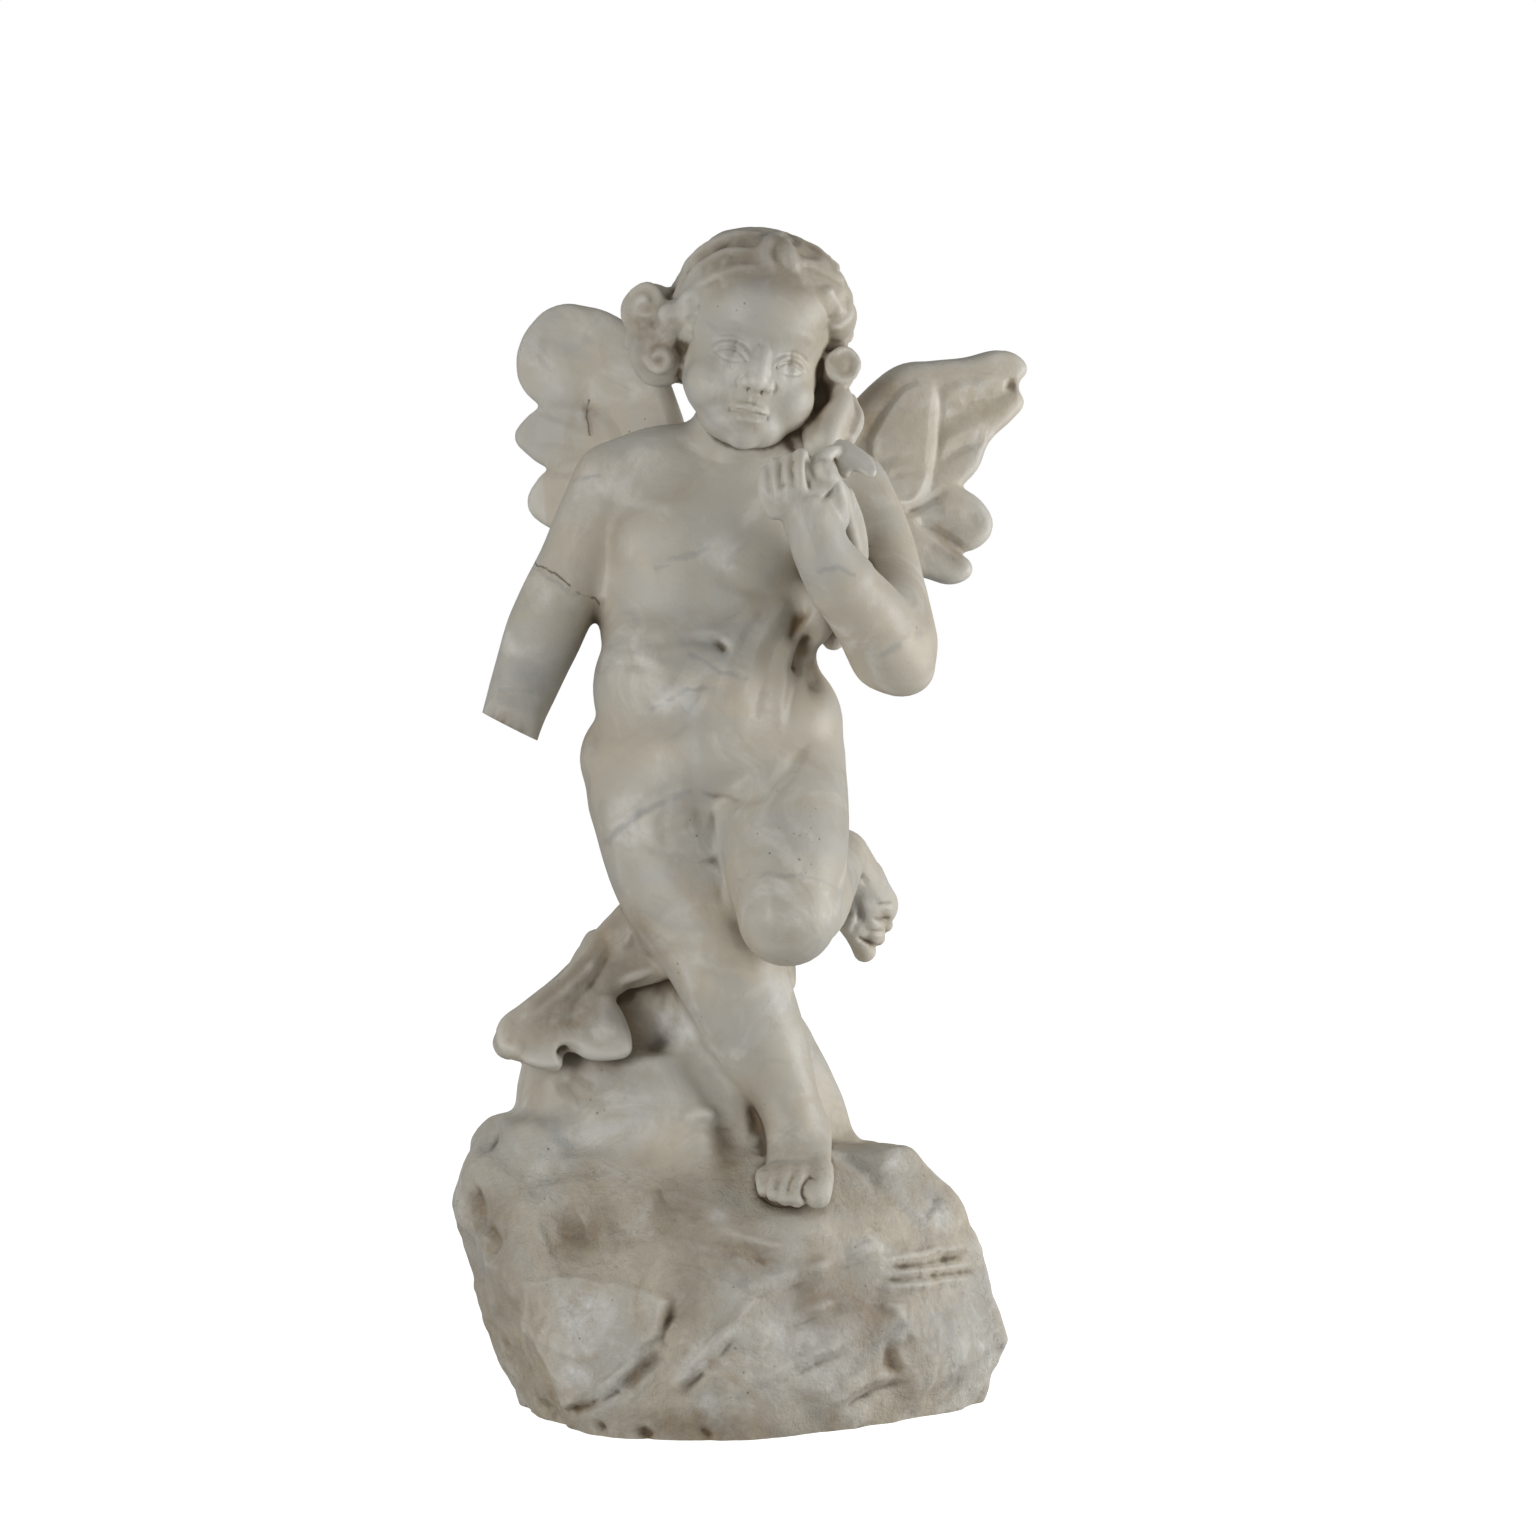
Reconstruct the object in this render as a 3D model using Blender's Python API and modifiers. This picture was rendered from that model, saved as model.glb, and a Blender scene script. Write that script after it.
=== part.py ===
"""Marble angel: a winged child on one foot on a rock, carved from one block.

Metres, +Z up. The figure looks along -Y. The origin is on the underside of the rock, under the figure.
Lumps of clay are set out as a carver would rough the block, then fused into one skin and faceted.
"""

import math

import bpy
from mathutils import Euler, Matrix, Vector

# Driving sizes, in metres
FIGURE_HEIGHT = 0.711  # sole of the standing foot to the crown, as the figure leans
ROCK_HEIGHT = 0.158  # underside of the rock to the place where the foot stands
ROCK_WIDTH = 0.416
ROCK_DEPTH = 0.330
WING_THICKNESS = 0.022
WING_EDGE_ROUND = 0.007
STUMP_RADIUS = 0.0235  # the broken right forearm where it ends
CLOTH_ROUND = 0.011  # half thickness of the folds of cloth
ARM_BREAK_SLANT = 27.0  # degrees between the break and level
FUSING_STEP = 0.003  # grain of the fused skin
ROCK_SMOOTHING, BODY_SMOOTHING, LAST_SMOOTHING = 24, 30, 6  # passes over the skin
FACETS = 8800  # triangles left on the finished block
ROUGH_BELOW = 0.030  # how far the rough rock runs below its underside before the cut

# The drawing was made at these sizes, in millimetres, and is scaled to the ones above
DRAWN_FIGURE = 711.0
DRAWN_ROCK = Vector((416.0, 330.0, 158.0))
DRAWN_STAND = Vector((50.0, -60.0, 158.0))  # under the ball of the standing foot
ARM_BREAK = Vector((-162.0, -34.0, 504.0))  # middle of the broken end of the right arm

FIGURE_SCALE = FIGURE_HEIGHT / DRAWN_FIGURE
ROCK_SCALE = Vector((ROCK_WIDTH / DRAWN_ROCK.x, ROCK_DEPTH / DRAWN_ROCK.y, ROCK_HEIGHT / DRAWN_ROCK.z))
STAND = Vector(place * scale for place, scale in zip(DRAWN_STAND, ROCK_SCALE))

FIGURE = Matrix.Translation(STAND) @ Matrix.Scale(FIGURE_SCALE, 4) @ Matrix.Translation(-DRAWN_STAND)
ROCK = Matrix.Diagonal((*ROCK_SCALE, 1.0))

clay = []


def turned(x=0.0, y=0.0, z=0.0):
    """Rotation by three angles in degrees."""
    return Euler((math.radians(x), math.radians(y), math.radians(z))).to_matrix().to_4x4()


def head_frame():
    """Frame of the head: x to its left, y to its back, z to its crown, from the middle of the skull."""
    centre, roll, nod, turn = (19.5, -12.0, 792.0), 14.0, 8.0, 10.0
    return FIGURE @ Matrix.Translation(centre) @ turned(y=roll) @ turned(x=nod) @ turned(z=turn)


def wing_frame(root, side, sweep):
    """Frame of a wing: x out from the back, y up, z through the blade. side is -1 for the right wing."""
    out = Vector((side * math.cos(math.radians(sweep)), math.sin(math.radians(sweep)), 0.0))
    up = Vector((0.0, 0.0, 1.0))
    axes = Matrix((out, up, out.cross(up))).transposed().to_4x4()
    return FIGURE @ Matrix.Translation(root) @ axes


def lump(centre, radii, turn=(0, 0, 0), frame=FIGURE):
    """An ellipsoid of clay: centre and half sizes in the drawing's millimetres, turn in degrees."""
    bpy.ops.mesh.primitive_uv_sphere_add(segments=32, ring_count=16, radius=1.0)
    ball = bpy.context.object
    ball.data.transform(frame @ Matrix.Translation(centre) @ turned(*turn) @ Matrix.Diagonal((*radii, 1.0)))
    clay.append(ball)


def limb(*stations, frame=FIGURE):
    """A round tapering limb with round ends, through stations of (x, y, z, radius)."""
    curve = bpy.data.curves.new("limb", "CURVE")
    curve.dimensions = "3D"
    curve.bevel_depth = 1.0
    curve.bevel_resolution = 5
    curve.resolution_u = 8
    curve.use_fill_caps = True
    spline = curve.splines.new("BEZIER")
    spline.bezier_points.add(len(stations) - 1)
    for point, (x, y, z, radius) in zip(spline.bezier_points, stations):
        point.co = (x, y, z)
        point.radius = radius
        point.handle_left_type = point.handle_right_type = "AUTO"
    clay.append(mesh_of(curve, frame))
    for x, y, z, radius in (stations[0], stations[-1]):
        lump((x, y, z), (radius, radius, radius), frame=frame)


def blade(frame, outline, lift=0.0):
    """A flat lobe of a wing with rounded edges, from an outline of (out, up), raised by lift."""
    curve = bpy.data.curves.new("blade", "CURVE")
    curve.dimensions = "2D"
    curve.fill_mode = "BOTH"
    curve.bevel_depth = WING_EDGE_ROUND / FIGURE_SCALE
    curve.offset = -curve.bevel_depth
    curve.bevel_resolution = 3
    curve.extrude = (WING_THICKNESS / 2.0 - WING_EDGE_ROUND) / FIGURE_SCALE
    curve.resolution_u = 6
    spline = curve.splines.new("BEZIER")
    spline.use_cyclic_u = True
    spline.bezier_points.add(len(outline) - 1)
    for point, (out, up) in zip(spline.bezier_points, outline):
        point.co = (out, up, 0.0)
        point.handle_left_type = point.handle_right_type = "AUTO"
    clay.append(mesh_of(curve, frame @ Matrix.Translation((0.0, 0.0, lift))))


def mesh_of(curve, frame):
    """The mesh that a curve makes, in its place, as an object of its own."""
    guide = bpy.data.objects.new(curve.name, curve)
    bpy.context.scene.collection.objects.link(guide)
    bpy.context.view_layer.update()
    evaluated = guide.evaluated_get(bpy.context.evaluated_depsgraph_get())
    mesh = bpy.data.meshes.new_from_object(evaluated)
    bpy.data.objects.remove(guide)
    mesh.transform(frame)
    made = bpy.data.objects.new(mesh.name, mesh)
    bpy.context.scene.collection.objects.link(made)
    return made


def model_torso():
    lump((-18, 6, 604), (80, 56, 92))  # ribs
    lump((-2, 6, 662), (92, 46, 50))  # shoulders
    lump((-50, 9, 702), (60, 34, 28), (0, -10, 0))  # right trapezius
    lump((50, 9, 698), (52, 34, 28), (0, 12, 0))  # left trapezius
    lump((-18, -22, 640), (70, 28, 44))  # chest
    lump((-26, -16, 532), (76, 54, 70))  # belly
    lump((-48, 2, 576), (49, 46, 48))  # right flank
    lump((18, -4, 545), (48, 50, 66))  # left flank
    lump((-20, 4, 480), (93, 54, 60))  # pelvis
    lump((36, 2, 504), (50, 46, 54))  # left hip
    lump((-12, -20, 480), (68, 44, 44))  # lower belly
    lump((-48, 34, 456), (52, 42, 52))  # right buttock
    lump((26, 34, 464), (50, 40, 50))  # left buttock
    lump((-8, 28, 630), (76, 36, 80))  # back
    limb((6, 8, 690, 44), (14, 0, 735, 39), (24, -2, 765, 39))  # neck


def model_limbs():
    limb(  # standing leg, from the hip to the ankle
        (-49, 4, 454, 58), (-36, -6, 396, 53), (-8, -20, 340, 44), (10, -22, 300, 40),
        (26, -18, 262, 36), (43, -24, 228, 25), (50, -28, 204, 23),
    )
    limb((34, 8, 478, 54), (41, -34, 436, 49), (42, -70, 396, 45), (43, -90, 366, 37))  # raised thigh
    limb((44, -88, 368, 36), (57, -40, 376, 34), (70, 0, 390, 28), (84, 32, 404, 20))  # raised shin
    limb(  # right arm, past its break
        (-84, 8, 684, 35), (-100, 6, 654, 32), (-114, 3, 624, 30), (-127, -2, 598, 30),
        (-138, -9, 572, 30), (-148, -18, 544, 27), (-160, -31, 508, STUMP_RADIUS / FIGURE_SCALE),
        (-167, -38, 482, STUMP_RADIUS / FIGURE_SCALE),
    )
    limb((88, 16, 680, 34), (104, 6, 648, 32), (116, -14, 608, 30), (123, -42, 564, 32))  # left upper arm
    lump((127, -46, 546), (26, 24, 22))  # elbow
    limb((118, -48, 558, 31), (102, -74, 583, 29), (83, -89, 605, 25.5), (66, -100, 630, 21), (60, -103, 650, 19))


def model_feet():
    lump((53, 0, 184), (22, 26, 24))  # standing heel
    limb((50, -24, 204, 23), (49, -56, 186, 23), (48, -78, 174, 18))
    lump((48, -74, 172), (28, 26, 15))  # ball
    for number, (x, radius) in enumerate(((28, 6), (36, 6), (44, 6.5), (53, 7))):
        reach = 97 + 2.5 * number
        limb((x + 1, -82, 174, radius + 2), (x, -reach, 168, radius))
    limb((66, -78, 174, 11), (67, -99, 170, 10))  # great toe
    # the raised foot, sole to the back
    along = Vector((0.44, 0.62, -0.65)).normalized()
    across = Vector((0.80, -0.59, 0.08)).cross(along).normalized()  # from great toe to little toe
    heel = Vector((85, 36, 404))

    def at(forward, side, radius):
        return (*(heel + along * forward + across * side), radius)

    limb(at(-2, 0, 22), at(28, 0, 21), at(58, 2, 18))
    limb(at(34, -10, 16), at(64, -17, 14))
    limb(at(34, 10, 15), at(60, 12, 13))
    for side, radius, reach in ((-25, 9.5, 88), (-5, 7, 84), (5, 6.5, 82), (14, 6, 78), (22, 6, 72)):
        limb(at(60, side * 0.8, radius + 1), at(reach, side, radius))


def model_hand():
    limb((60, -101, 650, 19), (61, -98, 672, 20), (62, -94, 688, 18))  # palm
    for x, z, radius in ((34, 668, 7), (42, 673, 7), (51, 678, 7.5), (62, 686, 8)):
        limb((x + 6, -104, z - 22, radius), (x, -114, z, radius), (x + 1, -106, z + 14, radius - 1))
    limb((78, -98, 660, 9), (84, -104, 682, 9), (74, -108, 694, 8))  # thumb


def model_head():
    head = head_frame()
    lump((0, 8, 14), (72, 76, 70), frame=head)  # skull and hair
    lump((0, -14, -26), (56, 52, 48), frame=head)  # face
    lump((0, -26, 22), (54, 46, 44), frame=head)  # forehead
    for side in (-1, 1):
        lump((side * 27, -40, -36), (24, 23, 24), frame=head)  # cheek
        lump((side * 23, -58, -11), (12, 9, 8), frame=head)  # eye
        lump((side * 8, -69, -31), (6, 6, 5), frame=head)  # wing of the nose
    lump((0, -38, -60), (34, 30, 18), frame=head)  # jaw
    lump((0, -56, -68), (16, 14, 13), frame=head)  # chin
    limb((0, -64, -4, 7), (0, -70, -18, 7.5), (0, -75, -28, 8), frame=head)  # nose
    lump((0, -66, -48), (14, 7, 5), frame=head)  # upper lip
    lump((0, -65, -56), (12, 7, 5), frame=head)  # lower lip


def model_hair():
    curls = (
        (-63, 2, 816, 18), (-66, 6, 795, 15), (-52, -2, 776, 18), (-44, 4, 824, 16), (-40, -18, 800, 14),
        (78, -32, 811, 18), (86, -10, 775, 16), (76, -6, 796, 16), (74, 2, 742, 17), (70, 6, 720, 15),
        (64, -26, 838, 15), (36, -64, 848, 12), (52, -54, 842, 13), (-30, -30, 836, 14),
    )
    for x, y, z, radius in curls:
        lump((x, y, z), (radius, radius, radius))
    for x, z in ((-36, 778), (-18, 760), (4, 750), (28, 748), (52, 754)):  # nape
        lump((x, 46, z), (18, 18, 22))


def model_wings():
    right = wing_frame((-40, 58, 701), -1, 25)
    blade(right, ((0, 0), (11, 40), (36, 95), (58, 115), (84, 130), (108, 129), (124, 118), (135, 102),
                  (138, 82), (132, 66), (114, 50), (84, 20), (40, -20)))
    blade(right, ((50, 40), (112, 52), (130, 42), (138, 29), (128, 16), (106, 3), (56, -4)), lift=-3)
    blade(right, ((44, 8), (104, 4), (119, -8), (125, -23), (117, -36), (80, -46), (38, -26)), lift=-6)
    left = wing_frame((61, 58, 701), 1, 20)
    blade(left, ((0, 0), (20, 6), (34, 26), (60, 67), (78, 82), (96, 86), (126, 90), (159, 97), (174, 92),
                 (180, 82), (172, 70), (177, 56), (168, 44), (147, 24), (138, 4), (121, -12), (60, -44)))
    blade(left, ((50, 2), (120, -10), (144, -26), (149, -42), (136, -58), (118, -60), (50, -34)), lift=3)
    blade(left, ((40, -22), (112, -58), (131, -74), (121, -85), (98, -83), (44, -56)), lift=6)
    limb((-20, 38, 668, 22), (-44, 58, 700, 15), (-64, 68, 722, 11))  # right root
    limb((40, 38, 664, 22), (72, 62, 690, 15), (104, 72, 716, 11))  # left root


def model_cloth():
    cloth = CLOTH_ROUND / FIGURE_SCALE
    spread = (  # over the stump beside the standing leg
        ((-57, 22, 372), (-96, 14, 337), (-124, 6, 309), (-150, -2, 286), (-161, -8, 272)),
        ((-50, 8, 356), (-80, -10, 326), (-104, -22, 294), (-120, -32, 262)),
        ((-46, -6, 348), (-60, -26, 316), (-74, -38, 286), (-84, -42, 264)),
        ((-56, 34, 368), (-92, 40, 328), (-128, 34, 290), (-154, 24, 262)),
    )
    for fold in spread:
        limb(*((*place, cloth * (0.8 + 0.12 * number)) for number, place in enumerate(fold)))
    lump((-105, 12, 295), (60, 34, 34), (0, -38, 0))
    lump((-84, -10, 298), (42, 26, 36), (0, -24, 0))
    # the veil from the left hand, down the side, across the belly and over the loins to the right hip
    limb((78, -92, 690, 9), (90, -60, 668, 10), (88, -46, 634, 12), (76, -36, 600, 12), (62, -38, 575, 12))
    limb((64, -38, 578, 12), (44, -58, 545, 11), (18, -70, 506, 10), (-22, -70, 472, 10), (-66, -48, 450, 11), (-94, -6, 444, 11))
    limb((60, -36, 560, 12), (54, -46, 510, 11), (36, -60, 476, 12), (0, -62, 450, 13), (-44, -52, 430, 12), (-82, -14, 422, 12))
    limb((84, -92, 694, 8), (100, -70, 690, 7), (112, -52, 684, 5))  # loose end by the shoulder
    limb((74, 20, 600, 14), (80, 16, 582, 12), (78, 10, 570, 9))  # tail behind the elbow
    # behind, the veil goes round the hips and hangs to the stump
    limb((-94, -4, 442, 10), (-86, 46, 452, 11), (-36, 74, 474, 12), (24, 74, 492, 12), (70, 42, 508, 11), (76, 12, 516, 8))
    hanging = (
        ((-84, 34, 446), (-74, 58, 412), (-60, 62, 366), (-66, 56, 310)),
        ((-50, 68, 462), (-46, 82, 424), (-38, 84, 372), (-44, 88, 300)),
        ((-14, 76, 474), (-12, 88, 430), (-10, 88, 372), (-14, 100, 290)),
        ((22, 74, 484), (22, 84, 436), (16, 80, 380), (16, 96, 296)),
        ((56, 58, 496), (48, 66, 444), (34, 68, 390), (38, 76, 310)),
    )
    for fold in hanging:
        limb(*((*place, radius) for place, radius in zip(fold, (6, cloth, cloth * 1.3, cloth * 1.2))))


def boulder(centre, levels, frame=ROCK):
    """A piece of rock: the hull of rings of points. levels gives each ring's height and its reach per bearing."""
    corners = []
    for height, reaches in levels.items():
        for number, reach in enumerate(reaches):
            bearing = 2.0 * math.pi * number / len(reaches)
            corner = (centre[0] + reach * math.cos(bearing), centre[1] + reach * math.sin(bearing), height)
            corners.append(frame @ Vector(corner))
    mesh = bpy.data.meshes.new("boulder")
    mesh.from_pydata(corners, [], [])
    rock = bpy.data.objects.new("boulder", mesh)
    bpy.context.scene.collection.objects.link(rock)
    bpy.context.view_layer.objects.active = rock
    bpy.ops.object.mode_set(mode="EDIT")
    bpy.ops.mesh.select_all(action="SELECT")
    bpy.ops.mesh.convex_hull()
    bpy.ops.object.mode_set(mode="OBJECT")
    clay.append(rock)


def model_rock():
    underside = (184, 180, 160, 148, 142, 148, 144, 138, 162, 150, 124, 134)
    boulder((0, 0), {
        -ROUGH_BELOW / ROCK_SCALE.z: underside,
        0: underside,
        45: (211, 202, 170, 158, 152, 168, 178, 162, 166, 156, 150, 168),
        104: (194, 190, 162, 152, 150, 174, 194, 184, 154, 136, 138, 156),
        148: (178, 172, 150, 140, 142, 176, 210, 162, 122, 112, 122, 136),
        190: (136, 128, 114, 112, 128, 168, 194, 128, 56, 40, 44, 74),
    })
    boulder((-95, 20), {  # left shoulder of the rock
        140: (90, 80, 84, 98, 110, 94, 84, 84),
        197: (86, 76, 78, 88, 101, 82, 74, 72),
        212: (78, 68, 70, 78, 89, 74, 66, 66),
        228: (68, 58, 62, 68, 74, 64, 56, 58),
        268: (44, 40, 42, 44, 48, 40, 36, 36),
    }, frame=FIGURE)
    boulder((0, 44), {  # mound behind the standing foot
        160: (110, 100, 96, 96, 100, 60, 40, 60),
        206: (93, 88, 88, 84, 80, 60, 44, 62),
        236: (84, 78, 80, 78, 76, 56, 44, 56),
        266: (65, 64, 68, 70, 76, 54, 42, 48),
        300: (46, 50, 58, 60, 70, 48, 38, 40),
    }, frame=FIGURE)
    boulder((-24, 40), {  # stump up to the thighs, under the hanging cloth
        250: (66, 66, 62, 60, 62, 54, 44, 48),
        330: (52, 50, 50, 50, 52, 44, 34, 38),
        430: (62, 52, 42, 46, 52, 30, 20, 30),
    }, frame=FIGURE)
    boulder((-52, -14), {  # rise in front, beside the standing leg
        150: (84, 74, 64, 64, 74, 66, 60, 70),
        196: (70, 62, 52, 56, 66, 56, 50, 56),
        232: (50, 44, 38, 46, 54, 38, 30, 38),
        262: (30, 28, 26, 32, 36, 24, 18, 22),
    }, frame=FIGURE)


def marble():
    material = bpy.data.materials.new("aged_marble")
    material.use_nodes = True
    shader = material.node_tree.nodes["Principled BSDF"]
    shader.inputs["Base Color"].default_value = (0.50, 0.47, 0.41, 1.0)
    shader.inputs["Roughness"].default_value = 0.42
    return material


def fuse(name, smoothing):
    """Joins the clay into one object and closes it into one skin, smoothed. Returns the object."""
    bpy.ops.object.select_all(action="DESELECT")
    for piece in clay:
        piece.select_set(True)
    bpy.context.view_layer.objects.active = clay[0]
    bpy.ops.object.join()
    fused = bpy.context.object
    fused.name = fused.data.name = name
    clay.clear()
    skin = fused.modifiers.new("skin", "REMESH")
    skin.mode = "VOXEL"
    skin.voxel_size = FUSING_STEP
    softened = fused.modifiers.new("softened", "SMOOTH")
    softened.factor = 0.5
    softened.iterations = smoothing
    return fused


def settle(fused):
    """Applies the modifiers and puts the object back among the clay."""
    for modifier in list(fused.modifiers):
        bpy.ops.object.modifier_apply(modifier=modifier.name)
    clay.append(fused)


def thin(statue):
    """Thins the faces to the number of facets wanted."""
    bpy.context.view_layer.update()
    skinned = len(statue.evaluated_get(bpy.context.evaluated_depsgraph_get()).data.polygons) * 2
    facets = statue.modifiers.new("facets", "DECIMATE")
    facets.ratio = FACETS / skinned


def cutter(name, frame, size):
    """A box that takes stone away, out of the renders."""
    bpy.ops.mesh.primitive_cube_add(size=1.0)
    box = bpy.context.object
    box.name = name
    box.data.transform(frame @ Matrix.Diagonal((*size, 1.0)))
    box.hide_render = True
    box.display_type = "WIRE"
    for collection in list(box.users_collection):
        collection.objects.unlink(box)
    bpy.data.collections["cutters"].objects.link(box)
    return box


def saw(statue, name, box):
    cut = statue.modifiers.new(name, "BOOLEAN")
    cut.operation = "DIFFERENCE"
    cut.object = box


def main():
    for obj in list(bpy.data.objects):
        bpy.data.objects.remove(obj)
    bpy.context.scene.collection.children.link(bpy.data.collections.new("cutters"))

    model_rock()
    settle(fuse("rock", ROCK_SMOOTHING))
    block = clay.copy()
    clay.clear()
    model_torso()
    model_limbs()
    settle(fuse("body", BODY_SMOOTHING))
    clay.extend(block)
    model_feet()
    model_hand()
    model_head()
    model_hair()
    model_wings()
    model_cloth()
    statue = fuse("angel_statue", LAST_SMOOTHING)
    statue.data.materials.clear()
    statue.data.materials.append(marble())
    thin(statue)

    reach = 2.0 * max(ROCK_WIDTH, ROCK_DEPTH)
    below = cutter("below", Matrix.Translation((0, 0, -ROUGH_BELOW)), (reach, reach, 2.0 * ROUGH_BELOW))
    saw(statue, "underside", below)
    past_break = FIGURE @ Matrix.Translation(ARM_BREAK) @ turned(y=ARM_BREAK_SLANT) @ Matrix.Translation((0, 0, -30))
    saw(statue, "arm_break", cutter("past_break", past_break, (120, 120, 60)))

    home = bpy.data.collections.new("angel_statue")
    bpy.context.scene.collection.children.link(home)
    for collection in list(statue.users_collection):
        collection.objects.unlink(statue)
    home.objects.link(statue)


main()
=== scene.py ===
# Aged marble angel: a winged child on one foot on a rough rock, carved from one block.
# The statue is set out in millimetres as lumps of clay, fused into one skin and carved with strokes.
# Strokes are laid out on the front view, in the photograph's pixels, or on the head's own axes.
# A stroke is its height in millimetres, negative when carved in, its width and its path.

import math
import time

import bmesh
import bpy
import numpy as np
from mathutils import Euler, Matrix, Vector, noise
from mathutils.bvhtree import BVHTree
from mathutils.kdtree import KDTree


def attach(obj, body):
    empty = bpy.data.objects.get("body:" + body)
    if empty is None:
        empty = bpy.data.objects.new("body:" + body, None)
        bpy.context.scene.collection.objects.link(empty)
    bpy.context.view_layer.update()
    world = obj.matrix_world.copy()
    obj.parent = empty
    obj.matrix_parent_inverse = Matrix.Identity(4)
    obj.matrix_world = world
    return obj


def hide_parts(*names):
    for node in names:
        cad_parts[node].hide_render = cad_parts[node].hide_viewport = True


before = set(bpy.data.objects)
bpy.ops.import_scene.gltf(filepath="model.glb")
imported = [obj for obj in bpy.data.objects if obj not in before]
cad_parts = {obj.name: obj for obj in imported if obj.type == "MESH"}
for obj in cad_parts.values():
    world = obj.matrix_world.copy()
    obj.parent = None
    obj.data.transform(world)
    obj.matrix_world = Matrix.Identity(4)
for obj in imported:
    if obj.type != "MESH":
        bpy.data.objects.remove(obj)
started = time.perf_counter()
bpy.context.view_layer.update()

# The camera of the photograph, in millimetres and pixels
photoCamera = {"x": 29.0, "y": -2600.0, "z": 473.0, "focal": 3484.0, "pixels": 1536, "sensor": 36.0}

grain = {
    "rough": 3.0,  # first skins
    "skin": 1.8,  # skins that strokes are carved in
    "whole": 1.5,  # the fused statue
    "mask": 2.0,  # the head's first skin
    "fine": 1.4,  # the head, the hair's cap, the hand and the toes
    "face": 1.0,  # the head with its features
    "triangles": 138000,  # left on the statue before the face is refined
}

clay = []  # what the next skin is made from
finished = []  # parts that wait for the last skin


def report(stage):
    print("stage:", stage, "at", round(time.perf_counter() - started, 1), "s", flush=True)


def turned(x=0.0, y=0.0, z=0.0):
    return Euler((math.radians(x), math.radians(y), math.radians(z))).to_matrix().to_4x4()


# Clay


def meshObject(name, mesh):
    made = bpy.data.objects.new(name, mesh)
    bpy.context.scene.collection.objects.link(made)
    return made


def lump(centre, radii, turn=(0, 0, 0), place=Matrix()):
    bpy.ops.mesh.primitive_uv_sphere_add(segments=40, ring_count=20, radius=1.0)
    ball = bpy.context.object
    ball.data.transform(place @ Matrix.Translation(centre) @ turned(*turn) @ Matrix.Diagonal((*radii, 1.0)))
    clay.append(ball)


def curveMesh(curve, place):
    guide = meshObject("guide", curve)
    bpy.context.view_layer.update()
    evaluated = guide.evaluated_get(bpy.context.evaluated_depsgraph_get())
    mesh = bpy.data.meshes.new_from_object(evaluated)
    bpy.data.objects.remove(guide)
    mesh.transform(place)
    return meshObject("clay", mesh)


def limb(*stations, place=Matrix()):
    curve = bpy.data.curves.new("limb", "CURVE")
    curve.dimensions = "3D"
    curve.bevel_depth = 1.0
    curve.bevel_resolution = 6
    curve.resolution_u = 8
    curve.use_fill_caps = True
    spline = curve.splines.new("BEZIER")
    spline.bezier_points.add(len(stations) - 1)
    for point, (x, y, z, radius) in zip(spline.bezier_points, stations):
        point.co = (x, y, z)
        point.radius = radius
        point.handle_left_type = point.handle_right_type = "AUTO"
    clay.append(curveMesh(curve, place))
    for x, y, z, radius in (stations[0], stations[-1]):
        lump((x, y, z), (radius, radius, radius), place=place)


def blade(place, outline, lift, thickness, edge):
    curve = bpy.data.curves.new("blade", "CURVE")
    curve.dimensions = "2D"
    curve.fill_mode = "BOTH"
    curve.bevel_depth = edge
    curve.offset = -edge
    curve.bevel_resolution = 4
    curve.extrude = thickness / 2.0 - edge
    curve.resolution_u = 8
    spline = curve.splines.new("BEZIER")
    spline.use_cyclic_u = True
    spline.bezier_points.add(len(outline) - 1)
    for point, (out, up) in zip(spline.bezier_points, outline):
        point.co = (out, up, 0.0)
        point.handle_left_type = point.handle_right_type = "AUTO"
    clay.append(curveMesh(curve, place @ Matrix.Translation((0.0, 0.0, lift))))


def onPlane(spot, plane):
    # Where the line of sight through a pixel meets a plane that leans back
    y, z, lean = plane
    sight = (spot[1] - photoCamera["pixels"] / 2.0) / photoCamera["focal"]
    height = (photoCamera["z"] - sight * (y - photoCamera["y"] - lean * z)) / (1.0 + sight * lean)
    depth = y + lean * (height - z)
    out = (spot[0] - photoCamera["pixels"] / 2.0) * (depth - photoCamera["y"]) / photoCamera["focal"]
    return photoCamera["x"] + out, depth, height


def sheet(outline, plane, thickness, edge):
    # A flat piece drawn on the photograph and set on a plane that leans back
    y, z, lean = plane
    across = Vector((1.0, 0.0, 0.0))
    up = Vector((0.0, lean, 1.0)).normalized()
    axes = Matrix((across, up, across.cross(up))).transposed().to_4x4()
    place = Matrix.Translation((0.0, y, z)) @ axes
    flat = [(place.inverted() @ Vector(onPlane(spot, plane))).to_2d() for spot in outline]
    blade(place, flat, 0.0, thickness, edge)


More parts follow.
